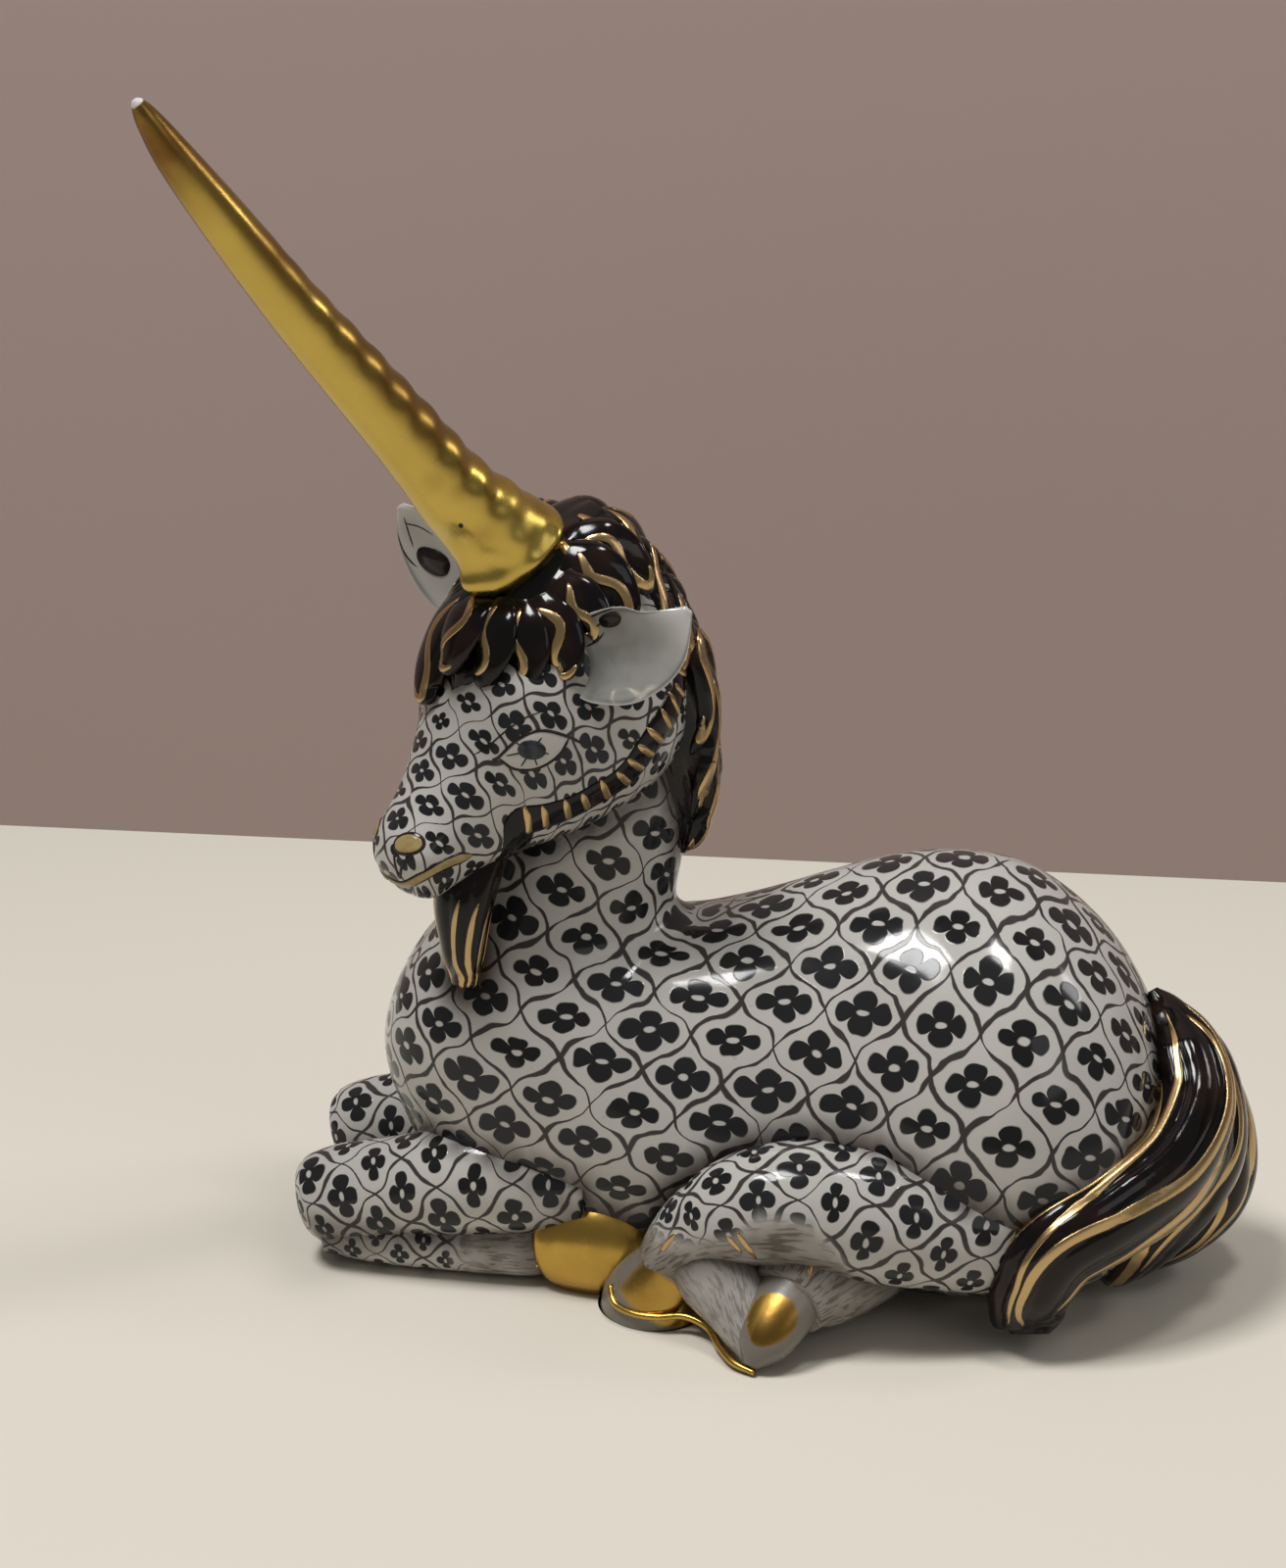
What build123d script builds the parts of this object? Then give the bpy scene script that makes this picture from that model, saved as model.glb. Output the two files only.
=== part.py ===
from build123d import *
from math import cos, pi, radians, sin
import os

# A lying unicorn of hollow cast porcelain. X runs along the trunk with the head towards -X, the
# animal's left side is -Y, and Z = 0 is the surface that it rests on. Lengths are millimetres.

# Trunk and neck
trunk_length = 92.0
back_height = 48.6
trunk_width = 49.2
neck_height = 26.0
neck_depth = 27.2
neck_width = 25.2
wall = 3.0
vent_radius = 2.5

# Head, turned to the left and nodding, in degrees
head_turn = 45.0
head_nod = 49.0
head_length = 46.9
head_depth = 27.1
head_width = 27.2
horn_length = 67.9
horn_base_width = 11.8
ear_length = 13.0
ear_width = 10.0
ear_thickness = 5.2
ear_lip = 0.9
forelock_length = 17.5
forelock_width = 23.0
forelock_depth = 8.4
mane_width = 16.0
mane_depth = 8.0
beard_length = 18.0
beard_width = 7.6
beard_depth = 6.0

# Folded forelegs: the forearm lies on the cannon, and each side has its own reach and spread
left_knee_reach = 34.4
right_knee_reach = 35.8
left_knee_spread = 12.5
right_knee_spread = 8.8
left_forearm_lift = 12.0
right_forearm_lift = 11.0
forearm_width = 12.8
forearm_depth = 13.2
cannon_width = 8.0
cannon_depth = 8.0
fore_hoof_spread = 15.6
fore_hoof_length = 14.0
fore_hoof_width = 10.4
fore_hoof_height = 11.2

# Hind legs: the left one lies along the flank, the right one comes out from under the belly
flank_leg_length = 42.5
flank_leg_spread = 24.3
flank_leg_width = 14.8
hock_height = 15.2
flank_hoof_length = 5.0
flank_hoof_width = 11.2
flank_hoof_depth = 9.2
flank_hoof_height = 9.0
under_leg_reach = 28.0
under_leg_run = 11.8
under_leg_width = 13.0
under_leg_depth = 12.6
under_hoof_length = 6.2
under_hoof_run = 4.0
under_hoof_width = 8.0
under_hoof_depth = 6.4
under_hoof_height = 8.0

# Tail, swept forward round the left side of the rump in two tufts
tail_height = 33.0
tail_reach = 14.0
tail_wrap = 25.0
tail_width = 12.0
tail_depth = 10.0

# Trunk sections from the neck seam to the rump: ridge x, ridge z, belly x, belly z, half width,
# as shares of the trunk's length, the back's height and half the trunk's width
trunk_shares = [
    (-0.126, 0.872, -0.470, 0.689, 0.610),
    (-0.109, 0.831, -0.499, 0.514, 0.699),
    (-0.082, 0.840, -0.478, 0.329, 0.740),
    (-0.043, 0.864, -0.413, 0.123, 0.772),
    (0.005, 0.897, -0.261, -0.031, 0.805),
    (0.071, 0.942, -0.065, -0.062, 0.846),
    (0.152, 0.988, 0.109, -0.062, 0.927),
    (0.239, 1.000, 0.239, -0.062, 1.000),
    (0.321, 0.963, 0.353, -0.041, 1.000),
    (0.397, 0.856, 0.435, 0.021, 0.878),
    (0.451, 0.728, 0.480, 0.123, 0.630),
    (0.487, 0.576, 0.500, 0.267, 0.325),
    (0.498, 0.453, 0.500, 0.391, 0.020),
]
# Place of the neck seam's ridge and throat, as shares of the trunk's length and the back's height
seam_ridge_x_share = -0.117
seam_ridge_z_share = 0.988
seam_throat_z_share = 0.844
# Neck sections from the poll down to the seam: ridge x, ridge z, throat x, throat z, half width,
# as shares of the neck's depth, height and half width, counted from the seam
neck_shares = [
    (-0.044, 1.000, 0.368, 1.077, 0.556),
    (0.007, 0.846, 0.313, 0.885, 0.698),
    (0.029, 0.577, 0.276, 0.596, 0.778),
    (0.029, 0.269, 0.184, 0.288, 0.857),
    (0.000, 0.000, 0.000, 0.000, 1.000),
]
# How much fuller a trunk section is towards the belly than towards the ridge
belly_fullness_share = 0.12
# The poll, counted from the middle of the neck's top, in shares of the head's length and depth
poll_x_share = -0.085
poll_z_share = 0.332
# Head sections from poll to lips: distance along, top, bottom, half width, as shares of the
# head's length, depth and half width
head_shares = [
    (-0.181, -0.221, -0.369, 0.074),
    (-0.149, 0.000, -0.554, 0.529),
    (-0.075, 0.125, -0.683, 0.779),
    (0.043, 0.192, -0.756, 0.926),
    (0.171, 0.207, -0.793, 1.000),
    (0.277, 0.192, -0.756, 0.971),
    (0.384, 0.148, -0.646, 0.853),
    (0.490, 0.096, -0.531, 0.706),
    (0.597, 0.066, -0.450, 0.618),
    (0.682, 0.066, -0.428, 0.603),
    (0.757, 0.037, -0.413, 0.559),
    (0.802, -0.059, -0.369, 0.412),
    (0.819, -0.170, -0.258, 0.088),
]
# Horn: share of its length, sideways bow in shares of the length, radius in shares of the base's
horn_shares = [
    (0.00, 0.000, 1.000),
    (0.10, -0.016, 0.850),
    (0.20, -0.012, 0.720),
    (0.34, -0.010, 0.640),
    (0.50, -0.003, 0.575),
    (0.64, 0.004, 0.510),
    (0.78, 0.006, 0.430),
    (0.90, 0.006, 0.330),
    (0.97, 0.002, 0.210),
    (1.00, 0.000, 0.070),
]
# The horn's foot and tip, as shares of the head's length along and of its depth above the poll
horn_foot_shares = (0.083, 0.166)
horn_lean_share = -0.171
# Ears: root as shares of the head's length, half width and depth, then steps to the tip as
# shares of the ear's length, with half width and half thickness as shares of the ear's
left_ear_root_shares = (0.149, 0.699, 0.018)
right_ear_root_shares = (0.128, -0.699, 0.074)
left_ear_step_shares = [(0, 0, 0), (-0.154, 0.346, -0.115), (-0.346, 0.615, -0.269), (-0.508, 0.777, -0.362)]
right_ear_step_shares = [(0, 0, 0), (-0.062, -0.269, 0.192), (-0.192, -0.500, 0.462), (-0.362, -0.654, 0.715)]
ear_size_shares = [(0.84, 0.92), (1.00, 1.00), (0.72, 0.77), (0.08, 0.15)]
# Forelock: place along, height, half width, half depth
forelock_shares = [
    (0.00, 0.83, 0.78, 0.95),
    (0.29, 1.10, 1.00, 1.00),
    (0.57, 1.05, 0.87, 0.81),
    (0.83, 0.86, 0.61, 0.62),
    (1.00, 0.71, 0.13, 0.24),
]
forelock_start_share = -0.171
# Mane, from the forelock over the poll and down the crest: x, z counted from the seam's ridge in
# shares of the neck's depth and height, drift to the left, half width, half depth
mane_shares = [
    (-0.596, 1.365, 0.375, 0.88, 1.00),
    (-0.393, 1.385, 0.190, 1.00, 1.00),
    (-0.210, 1.300, 0.060, 1.00, 1.00),
    (-0.088, 1.135, 0.000, 0.94, 0.95),
    (-0.026, 0.942, 0.000, 0.88, 0.90),
    (0.011, 0.712, 0.000, 0.81, 0.85),
    (0.033, 0.462, 0.000, 0.75, 0.80),
    (0.037, 0.212, 0.000, 0.56, 0.70),
    (0.022, 0.058, 0.000, 0.19, 0.30),
]
# Beard: root under the chin as shares of the head's sizes, then steps along, left and down as
# shares of the beard's length, with half width and half depth
beard_root_shares = (0.576, 0.074, -0.350)
beard_shares = [
    (0.00, 0.00, 0.00, 1.00, 1.00),
    (0.22, 0.01, -0.07, 1.00, 0.97),
    (0.49, 0.03, -0.19, 0.76, 0.83),
    (0.72, 0.03, -0.31, 0.45, 0.60),
    (0.92, 0.02, -0.44, 0.18, 0.27),
]
# Foreleg: start under the breast, as a share of the trunk's length
foreleg_start_share = -0.217
# Forearm: reach, spread, lift, half width, half depth
forearm_shares = [
    (0.000, 1.04, 1.00, 0.94, 0.94),
    (0.349, 1.08, 0.96, 1.00, 1.00),
    (0.640, 1.04, 0.79, 0.94, 0.91),
    (0.843, 1.00, 0.67, 0.88, 0.85),
    (0.959, 0.98, 0.58, 0.66, 0.64),
    (1.000, 0.98, 0.55, 0.08, 0.08),
]
# Cannon: reach, share of the way from the knee's to the hoof's spread, height, half width, half depth
cannon_shares = [
    (0.901, 0.00, 1.25, 1.05, 1.15),
    (0.698, 0.10, 1.05, 1.05, 1.00),
    (0.465, 0.33, 0.95, 0.95, 0.90),
    (0.203, 0.62, 1.00, 0.90, 0.90),
]
# Fore hoof: place along it from the cannon's end, share of the way to its spread, height, sizes
fore_hoof_shares = [
    (-0.04, 0.65, 0.68, 0.73, 0.68),
    (0.22, 0.80, 0.86, 0.89, 0.93),
    (0.58, 1.00, 0.95, 1.00, 1.00),
    (0.88, 1.13, 0.89, 0.81, 0.80),
    (0.98, 1.13, 0.86, 0.19, 0.18),
]
# Flank leg: start on the trunk, then reach forward, spread, height, half thickness
flank_leg_start_share = 0.359
flank_leg_shares = [
    (0.000, 0.741, 0.724, 0.81),
    (0.188, 0.864, 0.809, 0.92),
    (0.424, 0.926, 0.934, 1.00),
    (0.635, 0.967, 1.000, 0.97),
    (0.800, 1.000, 0.934, 0.84),
    (0.918, 1.000, 0.724, 0.68),
    (1.000, 0.959, 0.493, 0.62),
]
# Flank hoof: forward step, spread, height, half width, half depth
flank_hoof_shares = [
    (-0.14, 0.963, 0.955, 0.79, 0.78),
    (0.20, 0.922, 0.611, 0.88, 0.87),
    (0.54, 0.872, 0.222, 0.98, 0.96),
    (0.86, 0.823, -0.280, 1.00, 1.00),
]
# Under leg: start on the trunk, then forward step, reach to the left, height, half width, half depth
under_leg_start_share = 0.174
under_leg_shares = [
    (0.000, 0.214, 0.95, 0.85, 0.87),
    (0.254, 0.500, 1.03, 0.92, 0.95),
    (0.593, 0.732, 1.14, 1.00, 1.00),
    (0.847, 0.893, 1.11, 0.92, 0.89),
    (1.000, 1.000, 0.95, 0.71, 0.67),
]
# Under hoof: forward step, step to the left, height, half width, half depth
under_hoof_shares = [
    (-0.15, -0.13, 0.85, 1.00, 1.00),
    (0.25, 0.29, 0.60, 0.98, 1.00),
    (0.60, 0.65, 0.33, 0.75, 0.81),
    (0.85, 0.87, 0.10, 0.20, 0.25),
]
# Tail tufts: backward reach, wrap to the left, height, half width, half depth
tail_root_share = 0.473
rump_hub_shares = (0.24, 0.41)
long_tuft_shares = [
    (0.000, 0.000, 1.000, 0.53, 0.64),
    (0.264, 0.120, 0.833, 0.83, 0.90),
    (0.279, 0.320, 0.712, 1.00, 1.00),
    (0.071, 0.600, 0.621, 1.00, 0.90),
    (-0.321, 0.860, 0.561, 0.90, 0.80),
    (-0.679, 0.992, 0.464, 0.77, 0.75),
    (-0.893, 1.000, 0.333, 0.63, 0.72),
    (-0.971, 0.940, 0.206, 0.53, 0.70),
    (-1.000, 0.832, 0.045, 0.50, 0.64),
]
short_tuft_shares = [
    (0.036, -0.060, 0.940, 0.50, 0.60),
    (0.321, -0.060, 0.727, 0.85, 0.90),
    (0.486, -0.020, 0.500, 1.00, 1.10),
    (0.479, 0.080, 0.303, 1.00, 1.10),
    (0.250, 0.200, 0.167, 0.80, 0.86),
    (-0.036, 0.300, 0.076, 0.43, 0.44),
]
vent_place_share = 0.22
half_count = 6
steps_between_rows = 3
turns = [pi * i / half_count for i in range(2 * half_count)]
half_marks = [i / half_count for i in range(half_count + 1)]
parts = {}


# The two halves of a smooth closed ring. The arguments after its points are the ring's direction
# and speed where it passes its first point and its middle one, per half turn.
def ring(points, first_speed, middle_speed):
    one_half = points[:half_count + 1]
    other_half = points[half_count:] + points[:1]
    speeds = [first_speed, middle_speed]
    return [
        Edge.make_spline(one_half, tangents=speeds, parameters=half_marks, scale=False),
        Edge.make_spline(other_half, tangents=speeds[::-1], parameters=half_marks, scale=False),
    ]


# A closed solid of narrow strips from ring to ring
def stacked(rings):
    strips = [
        Face.make_surface_from_curves(low_half, high_half)
        for low, high in zip(rings, rings[1:])
        for low_half, high_half in zip(low, high)
    ]
    ends = [Face(Wire(rings[0])), Face(Wire(rings[-1]))]
    return Solid(Shell(strips + ends))


def oval(centre, side, rise, half_width, half_depth):
    speed = side * (pi * half_width)
    points = [centre + side * (half_width * sin(turn)) + rise * (half_depth * cos(turn)) for turn in turns]
    return ring(points, speed, -speed)


# A section in an upright plane through its ridge and belly points
def body_ring(ridge, belly, half_width):
    points = []
    for turn in turns:
        point = ridge + (belly - ridge) * ((1 - cos(turn)) / 2)
        out = -half_width * sin(turn) * (1 - belly_fullness_share * cos(turn))
        points.append(Vector(point.X, out, point.Z))
    speed = Vector(0, pi * half_width, 0)
    return ring(points, speed * (belly_fullness_share - 1), speed * (belly_fullness_share + 1))


# The same section drawn in by the wall, for the cast hollow
def drawn_in(row, step_back=0.0):
    ridge, belly, half_width = row
    inward = (belly - ridge).normalized() * wall
    shift = Vector(-step_back, 0, 0)
    return ridge + inward + shift, belly - inward + shift, half_width - wall


# A run of numbers or points with smooth steps added between them (Catmull-Rom: each step is
# steered by the two values before it and the two after it)
def eased(values):
    padded = [values[0] * 2 - values[1]] + list(values) + [values[-1] * 2 - values[-2]]
    run = []
    for before, start, end, after in zip(padded, padded[1:], padded[2:], padded[3:]):
        for step in range(steps_between_rows):
            t = step / steps_between_rows
            slope = (end - before) * t
            bend = (before * 2 - start * 5 + end * 4 - after) * t**2
            twist = (start * 3 - before - end * 3 + after) * t**3
            run.append((start * 2 + slope + bend + twist) * 0.5)
    return run + [values[-1]]


# The same with rows of several values
def eased_rows(rows):
    return list(zip(*[eased(column) for column in zip(*rows)]))


# An oval limb through centres. Its depth is measured towards `outward`, or away from the point
# `hub`, and its width square to that and to the way it runs.
def limb(centres, half_widths, half_depths, outward=None, hub=None):
    rows = eased_rows(list(zip(centres, half_widths, half_depths)))
    rings = []
    last = len(rows) - 1
    for i, (centre, half_width, half_depth) in enumerate(rows):
        tangent = (rows[min(i + 1, last)][0] - rows[max(i - 1, 0)][0]).normalized()
        away = outward if hub is None else centre - hub
        side = tangent.cross(away).normalized()
        rings.append(oval(centre, side, side.cross(tangent), half_width, half_depth))
    return stacked(rings)


# What is left of a piece after larger neighbours are taken from it
def fitted(solid, *neighbours):
    for neighbour in neighbours:
        rest = solid.cut(neighbour)
        solid = max(rest.solids(), key=lambda piece: piece.volume)
    return solid


def half_sizes(rows, column, full_size):
    return [row[column] * full_size / 2 for row in rows]


# Trunk and neck: one smooth skin in two castings that meet at the seam
seam_ridge = Vector(seam_ridge_x_share * trunk_length, 0, seam_ridge_z_share * back_height)
seam_throat = Vector(seam_ridge.X - neck_depth, 0, seam_throat_z_share * back_height)
neck_rows = [
    (
        seam_ridge + Vector(ridge_x * neck_depth, 0, ridge_z * neck_height),
        seam_throat + Vector(throat_x * neck_depth, 0, throat_z * neck_height),
        half_width * neck_width / 2,
    )
    for ridge_x, ridge_z, throat_x, throat_z, half_width in neck_shares
]
trunk_rows = [
    (
        Vector(ridge_x * trunk_length, 0, ridge_z * back_height),
        Vector(belly_x * trunk_length, 0, belly_z * back_height),
        half_width * trunk_width / 2,
    )
    for ridge_x, ridge_z, belly_x, belly_z, half_width in trunk_shares
]
body_rows = neck_rows + trunk_rows
body_rings = [body_ring(*row) for row in eased_rows(body_rows)]
seam_ring = steps_between_rows * (len(neck_rows) - 1)
cavity_rows = [drawn_in(row) for row in body_rows[:-3]] + [drawn_in(body_rows[-3], wall)]
cavity = stacked([body_ring(*row) for row in eased_rows(cavity_rows)])

overall = 2 * (trunk_length + back_height + neck_height)
below_ground = Pos(0, 0, -overall / 2) * Box(overall, overall, overall)
floor = Pos(0, 0, wall - overall / 2) * Box(overall, overall, overall)
hollow = fitted(cavity, floor)
vent = Pos(vent_place_share * trunk_length, 0, 0) * Cylinder(vent_radius, 3 * wall)

trunk_block = fitted(stacked(body_rings[seam_ring:]), below_ground)
neck_block = stacked(body_rings[:seam_ring + 1])
parts["trunk"] = fitted(trunk_block, hollow, vent)
parts["neck"] = fitted(neck_block, cavity)

# Head, in its own frame: along the face, to the animal's left, and up out of the forehead
facing = Vector(-cos(radians(head_turn)), -sin(radians(head_turn)), 0)
upright = Vector(0, 0, 1)
along = facing * cos(radians(head_nod)) - upright * sin(radians(head_nod))
outward = facing * sin(radians(head_nod)) + upright * cos(radians(head_nod))
leftward = upright.cross(facing)
neck_top = (neck_rows[0][0] + neck_rows[0][1]) * 0.5
poll = neck_top + Vector(poll_x_share * head_length, poll_x_share * head_length, poll_z_share * head_depth)


def on_head(forward, left, up):
    return poll + along * forward + leftward * left + outward * up


def head_loft(rows, inset):
    rings = []
    for place, top, bottom, half_width in eased_rows(rows):
        centre = on_head(place * head_length, 0, (top + bottom) * head_depth / 2)
        half_depth = (top - bottom) * head_depth / 2 - inset
        rings.append(oval(centre, leftward, outward, half_width * head_width / 2 - inset, half_depth))
    return stacked(rings)


head_block = head_loft(head_shares, 0)
head_hollow = head_loft(head_shares[2:-3], wall)
parts["head"] = fitted(head_block, neck_block, cavity, head_hollow)

# Horn, a tapering rod that stands on the forehead and bows slightly
horn_foot = on_head(horn_foot_shares[0] * head_length, 0, horn_foot_shares[1] * head_depth)
horn_way = (along * horn_lean_share + outward).normalized()
horn_centres = [
    horn_foot + horn_way * (place * horn_length) + along * (bow * horn_length)
    for place, bow, radius in horn_shares
]
horn_radii = half_sizes(horn_shares, 2, horn_base_width)
horn_block = limb(horn_centres, horn_radii, horn_radii, along)
parts["horn"] = fitted(horn_block, head_block)

# Ears: a leaf with a scooped inside
ears = {
    "ear_left": (left_ear_root_shares, left_ear_step_shares, outward),
    "ear_right": (right_ear_root_shares, right_ear_step_shares, along),
}
ear_blocks = []
for name, (root_shares, step_shares, ear_front) in ears.items():
    root = on_head(root_shares[0] * head_length, root_shares[1] * head_width / 2, root_shares[2] * head_depth)
    centres = [
        root + (along * forward + leftward * left + outward * up) * ear_length
        for forward, left, up in step_shares
    ]
    half_widths = half_sizes(ear_size_shares, 0, ear_width)
    half_depths = half_sizes(ear_size_shares, 1, ear_thickness)
    leaf = limb(centres, half_widths, half_depths, ear_front)
    scoop = limb(
        [centre + ear_front * (ear_thickness / 2) for centre in centres[:-1]],
        [half_width - ear_lip for half_width in half_widths[:-1]],
        [half_depth - ear_lip / 2 for half_depth in half_depths[:-1]],
        ear_front,
    )
    ear_blocks.append(leaf)
    parts[name] = fitted(leaf, head_block, scoop, horn_block)

# Hair on the head and neck
mane_block = limb(
    [
        seam_ridge + Vector(x * neck_depth, -drift * mane_width / 2, z * neck_height)
        for x, z, drift, half_width, half_depth in mane_shares
    ],
    half_sizes(mane_shares, 3, mane_width),
    half_sizes(mane_shares, 4, mane_depth),
    hub=neck_top,
)
parts["mane"] = fitted(mane_block, head_block, neck_block, trunk_block, horn_block, *ear_blocks)
forelock_block = limb(
    [
        on_head(forelock_start_share * forelock_length + place * forelock_length, 0, height * forelock_depth / 2)
        for place, height, half_width, half_depth in forelock_shares
    ],
    half_sizes(forelock_shares, 2, forelock_width),
    half_sizes(forelock_shares, 3, forelock_depth),
    outward,
)
parts["forelock"] = fitted(forelock_block, head_block, horn_block, mane_block, *ear_blocks)
beard_root = on_head(
    beard_root_shares[0] * head_length, beard_root_shares[1] * head_width / 2, beard_root_shares[2] * head_depth
)
beard_block = limb(
    [
        beard_root + (along * forward + leftward * left + outward * up) * beard_length
        for forward, left, up, half_width, half_depth in beard_shares
    ],
    half_sizes(beard_shares, 3, beard_width),
    half_sizes(beard_shares, 4, beard_depth),
    along.cross(leftward),
)
parts["beard"] = fitted(beard_block, head_block, trunk_block, neck_block)

# Forelegs and their hooves
breast_x = foreleg_start_share * trunk_length
forelegs = {
    "left": (-1, left_knee_reach, left_knee_spread, left_forearm_lift),
    "right": (1, right_knee_reach, right_knee_spread, right_forearm_lift),
}
for side_name, (side, reach, spread, lift) in forelegs.items():
    forearm = limb(
        [
            Vector(breast_x - far * reach, side * out * spread, up * lift)
            for far, out, up, half_width, half_depth in forearm_shares
        ],
        half_sizes(forearm_shares, 3, forearm_width),
        half_sizes(forearm_shares, 4, forearm_depth),
        upright,
    )
    splay = fore_hoof_spread - spread
    cannon = limb(
        [
            Vector(breast_x - far * reach, side * (spread + out * splay), up * cannon_depth / 2)
            for far, out, up, half_width, half_depth in cannon_shares
        ],
        half_sizes(cannon_shares, 3, cannon_width),
        half_sizes(cannon_shares, 4, cannon_depth),
        upright,
    )
    leg = forearm.fuse(cannon).solids()[0]
    fetlock_x = breast_x - cannon_shares[-1][0] * reach
    hoof = limb(
        [
            Vector(fetlock_x + far * fore_hoof_length, side * (spread + out * splay), up * fore_hoof_height / 2)
            for far, out, up, half_width, half_depth in fore_hoof_shares
        ],
        half_sizes(fore_hoof_shares, 3, fore_hoof_width),
        half_sizes(fore_hoof_shares, 4, fore_hoof_height),
        upright,
    )
    parts["foreleg_" + side_name] = fitted(leg, below_ground, trunk_block)
    parts["fore_hoof_" + side_name] = fitted(hoof, below_ground, trunk_block, leg)

# Left hind leg and hoof, along the flank
flank_x = flank_leg_start_share * trunk_length
flank_leg = limb(
    [
        Vector(flank_x - far * flank_leg_length, -out * flank_leg_spread, up * hock_height)
        for far, out, up, half_width in flank_leg_shares
    ],
    half_sizes(flank_leg_shares, 3, flank_leg_width),
    half_sizes(flank_leg_shares, 3, flank_leg_width),
    upright,
)
flank_hoof = limb(
    [
        Vector(
            flank_x - flank_leg_length - far * flank_hoof_length,
            -out * flank_leg_spread,
            up * flank_hoof_height,
        )
        for far, out, up, half_width, half_depth in flank_hoof_shares
    ],
    half_sizes(flank_hoof_shares, 3, flank_hoof_width),
    half_sizes(flank_hoof_shares, 4, flank_hoof_depth),
    upright,
)
parts["hind_leg_left"] = fitted(flank_leg, trunk_block)
parts["fore_hoof_left"] = fitted(parts["fore_hoof_left"], flank_hoof)

# Right hind leg and hoof, out from under the belly to the left
under_x = under_leg_start_share * trunk_length
under_leg = limb(
    [
        Vector(under_x - far * under_leg_run, -out * under_leg_reach, up * under_leg_depth / 2)
        for far, out, up, half_width, half_depth in under_leg_shares
    ],
    half_sizes(under_leg_shares, 3, under_leg_width),
    half_sizes(under_leg_shares, 4, under_leg_depth),
    upright,
)
under_hoof = limb(
    [
        Vector(
            under_x - under_leg_run - far * under_hoof_run,
            -under_leg_reach - out * under_hoof_length,
            up * under_hoof_height,
        )
        for far, out, up, half_width, half_depth in under_hoof_shares
    ],
    half_sizes(under_hoof_shares, 3, under_hoof_width),
    half_sizes(under_hoof_shares, 4, under_hoof_depth),
    upright,
)
parts["hind_leg_right"] = fitted(under_leg, below_ground, trunk_block, flank_leg)
parts["hind_hoof_right"] = fitted(under_hoof, below_ground, under_leg, flank_leg)
parts["hind_hoof_left"] = fitted(flank_hoof, below_ground, flank_leg, trunk_block, under_leg)

# Tail, two tufts in one casting
tail_x = tail_root_share * trunk_length
rump_hub = Vector(rump_hub_shares[0] * trunk_length, 0, rump_hub_shares[1] * back_height)
tufts = [
    limb(
        [
            Vector(tail_x + far * tail_reach, -out * tail_wrap, up * tail_height)
            for far, out, up, half_width, half_depth in rows
        ],
        half_sizes(rows, 3, tail_width),
        half_sizes(rows, 4, tail_depth),
        hub=rump_hub,
    )
    for rows in (long_tuft_shares, short_tuft_shares)
]
long_tuft = fitted(tufts[0], below_ground, trunk_block, flank_leg)
short_tuft = fitted(tufts[1], below_ground, trunk_block)
parts["tail"] = long_tuft.fuse(short_tuft).solids()[0]

os.makedirs("parts", exist_ok=True)
for name, solid in parts.items():
    export_step(solid, "parts/" + name + ".step")
    box = solid.bounding_box()
    print(f"{name}: volume {solid.volume:.0f} mm3, x {box.min.X:.1f} to {box.max.X:.1f}, "
          f"y {box.min.Y:.1f} to {box.max.Y:.1f}, z {box.min.Z:.1f} to {box.max.Z:.1f}")
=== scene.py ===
import bpy
import numpy as np
from functools import partial
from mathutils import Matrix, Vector


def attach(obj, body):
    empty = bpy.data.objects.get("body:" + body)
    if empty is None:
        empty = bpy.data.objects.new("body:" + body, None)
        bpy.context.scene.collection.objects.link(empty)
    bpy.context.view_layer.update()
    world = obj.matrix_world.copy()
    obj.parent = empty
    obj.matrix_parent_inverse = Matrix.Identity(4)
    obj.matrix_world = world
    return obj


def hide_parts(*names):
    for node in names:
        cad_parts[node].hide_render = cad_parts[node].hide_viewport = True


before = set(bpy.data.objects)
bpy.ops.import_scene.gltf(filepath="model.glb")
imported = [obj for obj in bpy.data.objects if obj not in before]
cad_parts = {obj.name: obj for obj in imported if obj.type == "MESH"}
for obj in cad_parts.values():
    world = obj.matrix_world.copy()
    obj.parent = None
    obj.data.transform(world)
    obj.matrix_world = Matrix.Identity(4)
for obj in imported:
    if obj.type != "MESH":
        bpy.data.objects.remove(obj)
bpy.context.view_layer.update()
mm = 0.001
turnFull = 2 * np.pi
upright = np.array([0, 0, 1.0])
wobbleSource = np.random.default_rng(7)


# Surfaces: every shape is a grid of points in mm, with rows along it and columns once round it
def lengthOf(v):
    return np.linalg.norm(v, axis=-1)


def unit(v):  # the same vectors, each 1 long
    return v / np.maximum(np.linalg.norm(v, axis=-1, keepdims=True), 1e-12)


def runOf(steps):  # steps added up from 0, along the last axis
    return np.concatenate([np.zeros(steps.shape[:-1] + (1,)), np.cumsum(steps, axis=-1)], axis=-1)


def smoothStep(low, high, x):  # 0 below low, 1 above high, an S curve between
    t = np.clip((x - low) / (high - low), 0, 1)
    return t * t * (3 - 2 * t)


def boxed(wave, power):  # a wave to a power with its sign kept, which squares an oval below 1
    return np.sign(wave) * np.abs(wave) ** power


def easedRows(rows, places):  # Catmull-Rom through rows, read at fractional row numbers
    rows = np.asarray(rows, float)
    padded = np.concatenate([2 * rows[:1] - rows[1:2], rows, 2 * rows[-1:] - rows[-2:-1]])
    at = np.clip(np.floor(places).astype(int), 0, len(rows) - 2)
    t = (places - at).reshape((-1,) + (1,) * (rows.ndim - 1))
    p0, p1, p2, p3 = (padded[at + k] for k in range(4))
    return 0.5 * (2 * p1 + (p2 - p0) * t + (2 * p0 - 5 * p1 + 4 * p2 - p3) * t**2
                  + (3 * p1 - p0 - 3 * p2 + p3) * t**3)


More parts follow.
